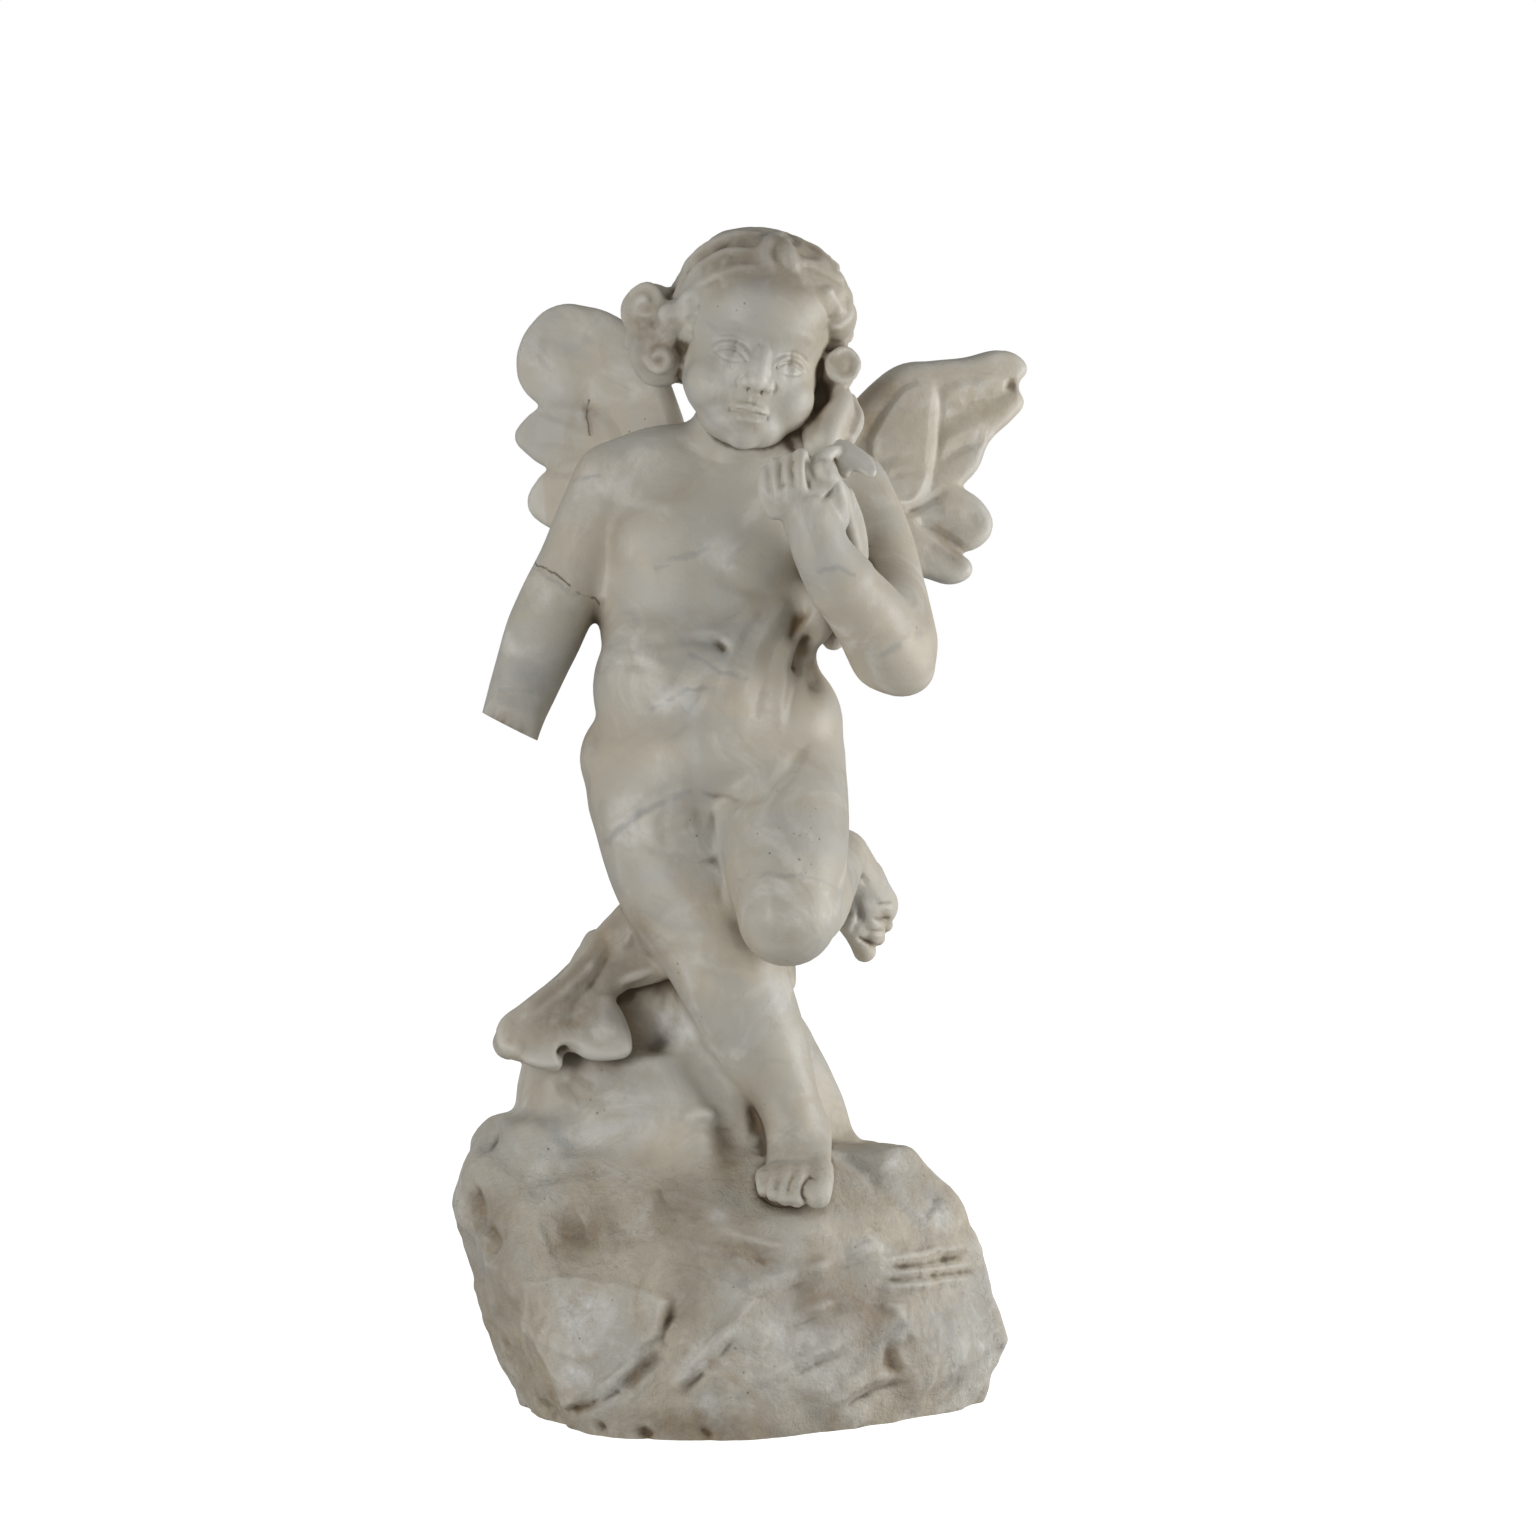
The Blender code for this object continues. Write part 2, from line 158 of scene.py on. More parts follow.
def boulder(centre, levels):
    corners = []
    for height, reaches in levels.items():
        for number, reach in enumerate(reaches):
            bearing = 2.0 * math.pi * number / len(reaches)
            x = centre[0] + reach * math.cos(bearing)
            y = centre[1] + reach * math.sin(bearing)
            corners.append((x, y, height))
    mesh = bpy.data.meshes.new("boulder")
    mesh.from_pydata(corners, [], [])
    rock = meshObject("boulder", mesh)
    bpy.ops.object.select_all(action="DESELECT")
    bpy.context.view_layer.objects.active = rock
    bpy.ops.object.mode_set(mode="EDIT")
    bpy.ops.mesh.select_all(action="SELECT")
    bpy.ops.mesh.convex_hull()
    bpy.ops.object.mode_set(mode="OBJECT")
    clay.append(rock)


def applyModifier(obj, name, kind, **settings):
    bpy.ops.object.select_all(action="DESELECT")
    bpy.context.view_layer.objects.active = obj
    obj.select_set(True)
    modifier = obj.modifiers.new(name, kind)
    for key, value in settings.items():
        setattr(modifier, key, value)
    bpy.ops.object.modifier_apply(modifier=modifier.name)


def fuse(name, voxel, smoothing=0):
    bpy.ops.object.select_all(action="DESELECT")
    for piece in clay:
        piece.select_set(True)
    bpy.context.view_layer.objects.active = clay[0]
    bpy.ops.object.join()
    fused = bpy.context.object
    fused.name = fused.data.name = name
    clay.clear()
    applyModifier(fused, "skin", "REMESH", mode="VOXEL", voxel_size=voxel)
    if smoothing:
        applyModifier(fused, "softened", "SMOOTH", factor=0.5, iterations=smoothing)
    return fused


# Carving


def curved(path, steps=6):
    # A smooth run of points through the path's own points
    path = np.asarray(path, float)
    if len(path) < 3:
        return path
    padded = np.vstack([2 * path[0] - path[1], path, 2 * path[-1] - path[-2]])
    run = []
    for a, b, c, d in zip(padded[:-3], padded[1:-2], padded[2:-1], padded[3:]):
        for t in np.linspace(0.0, 1.0, steps, endpoint=False):
            square = (2 * a - 5 * b + 4 * c - d) * t**2
            cube = (3 * b - a - 3 * c + d) * t**3
            run.append(0.5 * (2 * b + (c - a) * t + square + cube))
    run.append(path[-1])
    return np.array(run)


def insideOutline(places, outline):
    # How far inside an outline each place is, negative outside
    outline = np.asarray(outline, float)
    inside = np.zeros(len(places), bool)
    nearest = np.full(len(places), 1e9)
    for a, b in zip(outline, np.roll(outline, -1, axis=0)):
        crosses = (a[1] > places[:, 1]) != (b[1] > places[:, 1])
        with np.errstate(divide="ignore", invalid="ignore"):
            at = (b[0] - a[0]) * (places[:, 1] - a[1]) / (b[1] - a[1]) + a[0]
        inside ^= crosses & (places[:, 0] < at)
        side = b - a
        along = np.clip((places - a) @ side / (side @ side), 0.0, 1.0)
        nearest = np.minimum(nearest, np.linalg.norm(places - a - along[:, None] * side, axis=1))
    return np.where(inside, nearest, -nearest)


class Skin:
    def __init__(self, obj):
        self.obj = obj
        mesh = obj.data
        self.points = np.empty((len(mesh.vertices), 3), np.float32)
        mesh.vertices.foreach_get("co", self.points.reshape(-1))
        self.points = self.points.astype(float)
        edges = np.empty(len(mesh.edges) * 2, np.int32)
        mesh.edges.foreach_get("vertices", edges)
        self.ends = edges.reshape(-1, 2).T
        self.links = np.maximum(np.bincount(edges, minlength=len(self.points)), 1)[:, None]
        self.measure()

    def store(self):
        self.obj.data.vertices.foreach_set("co", self.points.astype(np.float32).reshape(-1))
        self.obj.data.update()

    def measure(self):
        self.store()
        normals = np.empty((len(self.points), 3), np.float32)
        self.obj.data.vertex_normals.foreach_get("vector", normals.reshape(-1))
        self.normals = normals.astype(float)

    def around(self, values):
        a, b = self.ends
        count = len(self.points)
        columns = [
            np.bincount(a, values[b, k], count) + np.bincount(b, values[a, k], count)
            for k in range(values.shape[1])
        ]
        return np.stack(columns, -1) / self.links

    def relax(self, rounds, strength=0.5):
        for _ in range(rounds):
            self.points += strength * (self.around(self.points) - self.points)
        self.measure()

    def fill(self, rounds, strength=0.6, where=None):
        # Fills the hollows and leaves the rises
        for number in range(rounds):
            step = self.around(self.points) - self.points
            rise = np.einsum("ij,ij->i", step, self.normals)
            gain = np.where(rise > 0.0, strength, 0.06)
            if where is not None:
                gain = gain * where
            self.points += step * gain[:, None]
            if number % 4 == 3:
                self.measure()
        self.measure()

    def seen(self):
        # Places on the photograph, in pixels, and how squarely each vertex faces the camera
        depth = self.points[:, 1] - photoCamera["y"]
        scale = photoCamera["focal"] / depth
        middle = photoCamera["pixels"] / 2.0
        places = np.stack(
            [
                middle + (self.points[:, 0] - photoCamera["x"]) * scale,
                middle - (self.points[:, 2] - photoCamera["z"]) * scale,
            ],
            -1,
        )
        return places, np.clip(-2.0 * self.normals[:, 1] - 0.1, 0.0, 1.0)

    def local(self, place):
        # Places on the front of a local frame, in its millimetres, and how squarely each vertex
        # faces that front
        inverse = np.array(place.inverted())
        points = self.points @ inverse[:3, :3].T + inverse[:3, 3]
        facing = -(self.normals @ np.array(place)[:3, :3])[:, 1]
        return points[:, [0, 2]], np.clip(2.0 * facing - 0.1, 0.0, 1.0)

    def push(self, amount):
        self.points += self.normals * amount[:, None]

    def bell(self, places, weight, width, path, taper=0.12):
        # The vertices beside a path, and how much of a rounded stroke each one takes
        path = curved(path)
        low, high = path.min(0) - width, path.max(0) + width
        near = np.flatnonzero(((places > low) & (places < high)).all(1) & (weight > 0.0))
        spots = places[near]
        best = np.full(len(near), 1e9)
        along = np.zeros(len(near))
        passed = 0.0
        for a, b in zip(path[:-1], path[1:]):
            side = b - a
            length = max(math.sqrt(side @ side), 1e-6)
            share = np.clip((spots - a) @ side / length**2, 0.0, 1.0)
            gap = np.linalg.norm(spots - a - share[:, None] * side, axis=1)
            closer = gap < best
            best[closer] = gap[closer]
            along[closer] = passed + share[closer] * length
            passed += length
        amount = np.clip(1.0 - (best / width) ** 2, 0.0, 1.0) ** 2
        if taper:
            along /= max(passed, 1e-6)
            amount *= np.clip(np.minimum(along, 1.0 - along) / taper, 0.0, 1.0) * 0.75 + 0.25
        return near, amount * weight[near]

    def stroke(self, places, weight, depth, width, path, taper=0.12):
        near, amount = self.bell(places, weight, width, path, taper)
        self.points[near] += self.normals[near] * (depth * amount)[:, None]

    def strokes(self, marks, space=None, taper=0.12):
        places, weight = self.seen() if space is None else self.local(space)
        for depth, width, path in marks:
            self.stroke(places, weight, depth, width, path, taper)
        self.measure()

    def strokes3d(self, marks):
        weight = np.ones(len(self.points))
        for depth, width, path in marks:
            self.stroke(self.points, weight, depth, width, path)
        self.measure()

    def relief(self, height, soft, outline):
        # Raises what is inside an outline, with a soft edge
        places, weight = self.seen()
        outline = curved([*outline, outline[0]])[:-1]
        low, high = outline.min(0) - soft, outline.max(0) + soft
        near = np.flatnonzero(((places > low) & (places < high)).all(1) & (weight > 0.0))
        inside = np.clip(insideOutline(places[near], outline) / soft, 0.0, 1.0)
        amount = np.zeros(len(self.points))
        amount[near] = height * weight[near] * inside * inside * (3.0 - 2.0 * inside)
        self.push(amount)
        self.measure()

    def flatten(self, outline, rise=0.0):
        # Dresses the stone inside an outline to one flat plane
        places, weight = self.seen()
        near = np.flatnonzero((weight > 0.2) & (insideOutline(places, outline) > 0.0))
        middle = self.points[near].mean(0)
        normal = np.linalg.svd(self.points[near] - middle, full_matrices=False)[2][2]
        if normal[1] > 0.0:
            normal = -normal
        height = (self.points[near] - middle) @ normal
        edge = np.clip(insideOutline(places[near], outline) / 4.0, 0.0, 1.0)
        self.points[near] += (normal * ((rise - height) * edge * 0.92)[:, None])
        self.measure()

    def roughen(self, size, height, where=None, seed=0.0):
        # Uneven stone: noise of a size and height, in millimetres
        spots = self.points / size + seed
        values = np.array([noise.noise(spot) for spot in spots.tolist()])
        amount = values * height
        self.push(amount if where is None else amount * where)
        self.measure()

    def keep(self):
        self.store()
        finished.append(self.obj)


def refuse(name, voxel):
    # One finer skin over what is in the clay
    return Skin(fuse(name, voxel))


def setAside():
    finished.extend(clay)
    clay.clear()


# The rock

underside = (184, 180, 160, 148, 142, 148, 144, 138, 162, 150, 124, 134)
rockPiece = {
    "centres": {
        "main": (0, 0),
        "leftShoulder": (-95, 20),
        "leftTop": (-95, 16),
        "mound": (0, 44),
        "stump": (-24, 40),
        "underCloth": (-88, 34),
        "rise": (-52, -14),
        "web": (-8, 4),
    },
    "roughTop": 190.0,  # height at which the rock starts to be smoother
    "roughFade": 60.0,
    "roughLeast": 0.35,
    "swells": ((52.0, 7.0, 3.0), (21.0, 3.0, 9.0)),  # size, height, seed
    "pitting": (8.0, 1.1, 5.0),
    # Reaches from the centre at even bearings, by height
    "main": {
        -30: underside,
        0: underside,
        45: (211, 202, 170, 158, 152, 168, 178, 162, 166, 156, 150, 168),
        104: (194, 190, 162, 152, 150, 174, 194, 184, 154, 136, 138, 156),
        148: (178, 172, 150, 140, 142, 176, 210, 162, 122, 112, 122, 136),
        190: (136, 128, 114, 112, 128, 168, 194, 128, 56, 40, 44, 74),
    },
    "leftShoulder": {
        140: (90, 80, 84, 98, 110, 94, 84, 84),
        197: (86, 76, 78, 88, 101, 82, 74, 72),
        213: (80, 70, 72, 78, 86, 74, 68, 68),
    },
    "leftTop": {
        190: (78, 66, 64, 68, 70, 64, 62, 66),
        228: (76, 62, 60, 64, 65, 60, 60, 62),
        252: (66, 52, 52, 56, 63, 54, 54, 54),
        272: (46, 40, 42, 44, 50, 40, 36, 36),
    },
    "mound": {
        160: (110, 100, 96, 96, 100, 60, 40, 60),
        206: (93, 88, 88, 84, 80, 60, 44, 62),
        236: (84, 78, 80, 78, 76, 56, 44, 56),
        266: (67, 64, 68, 70, 76, 54, 42, 48),
        300: (46, 50, 58, 60, 70, 48, 38, 40),
    },
    "stump": {
        250: (66, 66, 62, 60, 62, 54, 44, 48),
        330: (52, 50, 50, 50, 52, 44, 34, 38),
        430: (62, 52, 42, 46, 52, 30, 20, 30),
    },
    "underCloth": {
        220: (66, 52, 48, 48, 58, 60, 60, 64),
        262: (60, 46, 42, 42, 52, 48, 54, 58),
        310: (48, 36, 34, 34, 38, 34, 42, 48),
        352: (28, 24, 22, 22, 22, 18, 22, 26),
    },
    "rise": {
        150: (84, 74, 64, 64, 74, 66, 60, 70),
        196: (70, 62, 52, 56, 66, 56, 50, 56),
        232: (50, 44, 38, 46, 54, 38, 30, 38),
        262: (30, 28, 26, 32, 36, 24, 18, 22),
    },
    "web": {
        170: (66, 56, 50, 50, 66, 56, 44, 56),
        216: (58, 50, 44, 46, 58, 46, 30, 44),
        256: (40, 38, 36, 40, 52, 40, 30, 34),
        300: (24, 26, 28, 34, 44, 34, 24, 22),
        344: (12, 14, 18, 24, 32, 24, 14, 12),
    },
    "marks": (
        (-4, 24, [(728, 1120), (725, 1150), (732, 1180)]),
        (-4, 12, [(746, 1086), (755, 1110), (757, 1136)]),
        (3, 10, [(682, 1122), (697, 1113), (716, 1116)]),
        (-2.5, 9, [(686, 1134), (702, 1126), (714, 1130)]),
        (-3.5, 14, [(492, 1122), (497, 1146), (512, 1164), (540, 1173), (578, 1170), (612, 1165)]),
        (-7, 46, [(545, 1246), (585, 1230)]),
        (-4, 16, [(560, 1075), (580, 1092), (612, 1100)]),
        (-4.5, 11, [(664, 1350), (644, 1367), (622, 1390)]),
        (-4, 5, [(622, 1390), (600, 1402), (570, 1413)]),
        (4, 9, [(732, 1326), (702, 1356), (672, 1385)]),
        (-3.5, 7, [(738, 1340), (708, 1370), (682, 1396)]),
        (-3, 8, [(676, 1310), (664, 1332), (668, 1352)]),
        (3.5, 6, [(878, 1263), (920, 1254), (966, 1246)]),
        (-3.5, 7, [(892, 1268), (930, 1262), (964, 1256)]),
        (3, 5, [(876, 1275), (925, 1270), (974, 1264)]),
        (-2.6, 6, [(884, 1281), (930, 1276), (974, 1272)]),
        (3.5, 6, [(878, 1288), (925, 1284), (968, 1278)]),
        (-2.0, 9, [(894, 1296), (925, 1294), (958, 1288)]),
        (6, 22, [(862, 1243), (867, 1258)]),
        (5, 22, [(888, 1150), (892, 1168)]),
        (5, 34, [(928, 1212), (958, 1232)]),
        (-4, 10, [(838, 1150), (862, 1168), (880, 1186)]),
        (3, 9, [(846, 1140), (868, 1136), (884, 1142)]),
        (-4, 12, [(655, 1178), (668, 1202), (702, 1214)]),
        (-3, 9, [(700, 1238), (742, 1250), (774, 1268)]),
        (2.5, 8, [(712, 1226), (750, 1240), (790, 1250)]),
        (-2.0, 9, [(752, 1302), (800, 1284), (848, 1266), (872, 1258)]),
        (2, 12, [(736, 1292), (790, 1274), (838, 1260)]),
        (-2, 6, [(660, 1262), (700, 1268), (745, 1288)]),
        (-5, 20, [(898, 1340), (889, 1374)]),
        (3.5, 8, [(834, 1402), (860, 1383), (886, 1372)]),
        (-3.5, 7, [(846, 1410), (872, 1394), (905, 1384)]),
        (3, 9, [(905, 1325), (898, 1345), (904, 1368)]),
        (-5, 8, [(499, 1106), (492, 1130), (483, 1152)]),
        (-5, 9, [(484, 1222), (496, 1240), (488, 1258)]),
        (-4, 7, [(470, 1180), (482, 1206), (478, 1232)]),
        (-2.5, 7, [(780, 1330), (812, 1320), (842, 1306)]),
        (-2.5, 6, [(760, 1395), (800, 1374), (850, 1352)]),
        (2.5, 8, [(752, 1385), (796, 1362), (846, 1340)]),
        (-3, 7, [(520, 1285), (522, 1330), (566, 1414)]),
        (-5, 7, [(596, 1424), (604, 1432)]),
        (-6, 8, [(640, 1428), (652, 1438)]),
        (-4, 6, [(700, 1428), (712, 1436)]),
        (-4, 8, [(540, 1402), (552, 1412)]),
    ),
    "facet": [
        (519, 1282), (568, 1272), (657, 1290), (672, 1301), (664, 1336), (622, 1367), (568, 1414),
        (523, 1332),
    ],
    "facets": (
        [(690, 1300), (760, 1300), (742, 1322), (700, 1352), (676, 1345)],
        [(880, 1302), (968, 1292), (985, 1335), (915, 1345)],
        [(700, 1372), (760, 1330), (830, 1330), (800, 1372), (740, 1400)],
        [(860, 1300), (790, 1300), (850, 1272), (874, 1290)],
        [(466, 1190), (500, 1180), (510, 1260), (486, 1270)],
        [(905, 1165), (945, 1180), (950, 1215), (905, 1205)],
    ),
}


def makeRock():
    for name, centre in rockPiece["centres"].items():
        boulder(centre, rockPiece[name])
    clay.append(fuse("rock", grain["rough"], 24))
    skin = refuse("rock", grain["skin"])
    skin.relax(3)
    skin.fill(10)
    below = rockPiece["roughTop"] - skin.points[:, 2]
    low = np.clip(below / rockPiece["roughFade"], rockPiece["roughLeast"], 1.0)
    for size, height, seed in rockPiece["swells"]:
        skin.roughen(size, height, low, seed)
    for facet in rockPiece["facets"]:
        skin.flatten(facet)
    skin.flatten(rockPiece["facet"], rise=2.0)
    skin.strokes(rockPiece["marks"])
    skin.relax(1)
    size, height, seed = rockPiece["pitting"]
    skin.roughen(size, height, low, seed)
    skin.keep()
    report("rock")


# The body

bodyPiece = {
    "lumps": (
        ((-18, 6, 604), (80, 56, 92), (0, 0, 0)),
        ((-2, 6, 662), (92, 46, 50), (0, 0, 0)),
        ((-50, 9, 702), (60, 34, 28), (0, -10, 0)),
        ((50, 9, 698), (52, 34, 28), (0, 12, 0)),
        ((-18, -22, 640), (70, 28, 44), (0, 0, 0)),
        ((-26, -16, 532), (76, 54, 70), (0, 0, 0)),
        ((-48, 2, 576), (49, 46, 48), (0, 0, 0)),
        ((18, -4, 545), (48, 50, 66), (0, 0, 0)),
        ((-20, 4, 480), (93, 54, 60), (0, 0, 0)),
        ((36, 2, 504), (50, 46, 54), (0, 0, 0)),
        ((-12, -20, 480), (68, 44, 44), (0, 0, 0)),
        ((-48, 34, 456), (52, 42, 52), (0, 0, 0)),
        ((26, 34, 464), (50, 40, 50), (0, 0, 0)),
        ((-8, 28, 630), (76, 36, 80), (0, 0, 0)),
        ((127, -46, 546), (26, 24, 22), (0, 0, 0)),
        ((54, 2, 186), (24, 26, 24), (0, 0, 0)),
        ((66, -20, 588), (17, 17, 27), (0, 10, 0)),
    ),
    "limbs": (
        ((6, 8, 690, 44), (14, 0, 735, 39), (22, -2, 765, 39)),
        (
            (-49, 4, 454, 58), (-36, -6, 396, 53), (-8, -20, 340, 44), (10, -22, 300, 40),
            (26, -18, 262, 36), (43, -24, 228, 25), (50, -28, 204, 23),
        ),
        ((52, -18, 208, 23), (50, -48, 189, 18), (47, -76, 172, 10)),
        ((45, -20, 202, 19), (39, -50, 184, 13), (33, -76, 172, 8)),
        ((59, -18, 204, 19), (62, -48, 187, 15), (64, -78, 174, 11)),
        ((34, 8, 478, 54), (41, -34, 436, 49), (42, -70, 396, 45), (43, -90, 366, 37)),
        ((44, -88, 368, 36), (57, -40, 376, 34), (70, 0, 390, 28), (84, 32, 404, 20)),
        (
            (-84, 8, 684, 35), (-100, 6, 654, 32), (-114, 3, 624, 30), (-127, -2, 598, 30),
            (-138, -9, 572, 30), (-148, -18, 544, 27), (-160, -31, 508, 23.5), (-167, -38, 482, 23.5),
        ),
        ((88, 16, 680, 34), (104, 6, 648, 32), (116, -14, 608, 30), (123, -42, 564, 32)),
        (
            (118, -48, 558, 31), (102, -74, 583, 29), (83, -89, 605, 25.5), (66, -100, 630, 21),
            (60, -103, 650, 19),
        ),
    ),
    "veil": [
        (788, 578), (752, 592), (726, 622), (708, 660), (692, 702), (682, 740), (694, 776), (736, 790),
        (770, 780), (790, 754), (800, 730), (802, 700), (800, 676), (806, 654), (813, 634), (806, 604),
    ],
    "bellyFold": [
        (730, 640), (700, 646), (664, 652), (640, 664), (634, 690), (650, 722), (676, 752), (700, 774),
        (722, 742), (735, 702), (727, 672),
    ],
    "loins": [
        (712, 792), (690, 782), (664, 790), (642, 806), (612, 830), (610, 846), (640, 852), (672, 860),
        (706, 862), (732, 872), (744, 850), (738, 818), (728, 800),
    ],
    "veilFolds": (
        (1.8, 8, [(790, 598), (766, 630), (750, 668), (738, 706)]),
        (-1.9, 7, [(796, 612), (776, 648), (762, 690), (752, 726)]),
        (1.7, 8, [(800, 634), (786, 672), (776, 716)]),
        (-1.6, 7, [(803, 656), (793, 694), (788, 730)]),
        (-1.7, 7, [(770, 604), (748, 634), (732, 670), (722, 704)]),
        (-1.3, 7, [(722, 650), (704, 690), (684, 722)]),
        (1.3, 8, [(706, 652), (688, 690), (664, 718)]),
        (-1.2, 8, [(690, 656), (670, 690), (646, 712)]),
        (-1.4, 8, [(640, 642), (672, 637), (704, 640), (724, 650)]),
        (1.2, 10, [(752, 598), (716, 612), (676, 618)]),
        (-1.3, 9, [(776, 598), (742, 611), (704, 624), (662, 632)]),
        (-1.0, 8, [(700, 730), (726, 744), (760, 740)]),
        (-3.0, 10, [(684, 786), (712, 798), (740, 800), (768, 790), (790, 768), (804, 742)]),
        (-1.8, 8, [(694, 789), (672, 793), (646, 806), (610, 834)]),
        (1.2, 8, [(700, 814), (672, 824), (640, 834)]),
        (-1.4, 7, [(728, 808), (730, 832), (738, 862)]),
        (-1.2, 7, [(700, 804), (702, 828), (712, 854)]),
        (-1.2, 7, [(668, 806), (662, 826), (670, 850)]),
        (1.0, 8, [(686, 808), (684, 830), (692, 850)]),
    ),
    "marks": (
        (-1.2, 9, [(652, 567), (680, 559), (708, 549)]),
        (3.0, 30, [(718, 534), (736, 554)]),
        (-2.8, 12, [(716, 574), (742, 587), (770, 592), (792, 588)]),
        (-1.0, 22, [(708, 500), (705, 540), (707, 580), (708, 618)]),
        (-5.5, 9, [(806, 606), (798, 622), (792, 640)]),
        (-6.0, 10, [(812, 634), (802, 652), (795, 674)]),
        (-5.0, 10, [(810, 656), (815, 692)]),
        (-6.0, 7, [(717, 640), (727, 650)]),
        (1.2, 16, [(700, 622), (716, 628)]),
        (-1.6, 8, [(628, 647), (665, 644), (700, 639), (720, 645)]),
        (-1.6, 7, [(674, 438), (700, 455), (730, 463), (764, 458)]),
        (-1.6, 9, [(696, 460), (706, 470)]),
        (-1.6, 11, [(624, 498), (613, 520), (607, 545), (604, 575), (598, 606)]),
        (-2.0, 8, [(596, 668), (622, 663), (652, 668)]),
        (-3.2, 8, [(728, 838), (727, 872), (733, 910), (746, 944)]),
        (-1.6, 12, [(752, 928), (770, 938), (792, 936)]),
        (1.6, 12, [(768, 880), (770, 905), (772, 925)]),
        (-1.6, 12, [(742, 960), (700, 954), (672, 940)]),
        (-1.4, 10, [(700, 975), (740, 982)]),
        (-1.5, 8, [(790, 1096), (806, 1094), (824, 1098)]),
        (-1.2, 9, [(716, 880), (722, 905)]),
        (-1.0, 6, [(884, 652), (900, 645), (914, 634)]),
        (-1.6, 6, [(668, 858), (700, 862), (722, 856)]),
    ),
}


def makeBody():
    for centre, radii, turn in bodyPiece["lumps"]:
        lump(centre, radii, turn)
    for stations in bodyPiece["limbs"]:
        limb(*stations)
    clay.append(fuse("body", grain["rough"], 30))
    skin = refuse("body", grain["skin"])
    skin.relax(6)
    skin.fill(24)
    skin.relief(2.8, 24.0, bodyPiece["veil"])
    skin.relief(1.5, 20.0, bodyPiece["bellyFold"])
    skin.relief(3.0, 10.0, bodyPiece["loins"])
    skin.strokes(bodyPiece["veilFolds"])
    skin.strokes(bodyPiece["marks"])
    skin.relax(2)
    skin.keep()
    report("body")


# Feet and hand

handPiece = {
    "palm": ((60, -100, 648, 20), (58, -101, 662, 20), (57, -98, 676, 17)),
    "block": (
        ((54, -102, 672), (27, 14, 21)), ((66, -102, 682), (14, 12, 14)), ((42, -106, 682), (16, 7, 12)),
    ),
    "fingers": (
        ((34, -104, 658, 7.5), (26.8, -110, 670, 5.6), (27, -108, 684, 5.2)),
        ((39, -108, 658, 7.5), (34.2, -114, 674, 5.9), (34.5, -110, 690, 5.4)),
        ((46, -110, 660, 7.6), (43, -116, 678, 6.2), (43.2, -111, 693, 5.7)),
        ((54, -110, 662, 7.8), (52, -117, 680, 6.6), (52.6, -111, 696, 6.0)),
    ),
    "thumb": ((78, -96, 652, 10), (79, -103, 667, 8.6), (74, -109, 679, 7.6), (69, -111, 687, 6.6)),
    "wrist": ((83, -89, 605, 26), (68, -99, 628, 21.5), (61, -102, 648, 20)),
    "grooves": (
        (-1.5, 3.6, [(768, 464), (769, 480), (772, 498)]),
        (-1.5, 3.6, [(780, 458), (780, 474), (783, 491)]),
        (-1.5, 3.6, [(793, 455), (792, 470), (796, 486)]),
        (-2.0, 3.8, [(807, 456), (807, 474), (810, 490)]),
        (-2.0, 3.8, [(820, 502), (830, 494), (839, 482)]),
    ),
    # A flap of the veil above the fist, drawn on the photograph
    "flap": [
        (836, 441), (850, 443), (862, 450), (874, 462), (874, 477), (866, 476), (855, 471), (845, 478),
        (838, 470),
    ],
    "flapPlane": (-88.0, 700.0, 0.5),
    "flapThickness": 6.0,
    "flapEdge": 2.5,
    "cloth": (
        ((66, -102, 692, 7), (74, -96, 700, 5), (80, -88, 703, 3.5)),
        ((80, -84, 672, 8), (87, -66, 650, 8), (91, -54, 632, 8), (90, -46, 616, 8)),
        ((85, -74, 670, 7), (92, -56, 650, 8), (94, -46, 630, 9), (92, -40, 610, 8)),
    ),
}

footPiece = {
    "toes": (
        ((29, -60, 176, 8), (25.5, -82, 176, 6.0), (26.5, -92, 169, 5.6)),
        ((37, -62, 180, 9), (34.2, -92, 177, 5.8), (33.2, -103, 167, 5.5)),
        ((46, -64, 181, 9), (42.8, -97, 177, 6.0), (41.3, -107, 165, 5.6)),
        ((55, -64, 181, 9), (51.8, -99, 176, 6.3), (50, -109, 164, 5.9)),
        ((64, -60, 180, 13), (66, -90, 174, 10.4), (64.5, -104, 167, 10)),
    ),
    "raised": {
        "along": Vector((0.44, 0.62, -0.65)),
        "face": Vector((0.80, -0.59, 0.08)),
        "heel": Vector((85, 36, 404)),
        "body": (
            ((-2, 0, 22), (28, 0, 21), (58, 2, 18)),
            ((34, -10, 16), (62, -19, 13)),
            ((34, 10, 15), (60, 10, 12)),
        ),
        "toes": (
            ((92, 50, 356, 11), (99, 62, 344, 10), (103, 70, 333, 9)),
            ((98, 60, 358, 8), (108, 70, 350, 7), (113, 76, 342.5, 6.2)),
            ((102, 64, 364, 8), (114, 74, 358, 6.4), (119.5, 78, 352.5, 5.8)),
            ((104, 66, 372, 8), (116, 76, 366, 6.0), (121.5, 80, 362, 5.3)),
            ((108, 68, 380, 7), (118, 78, 377, 5.4), (123, 82, 373.5, 4.8)),
        ),
    },
}


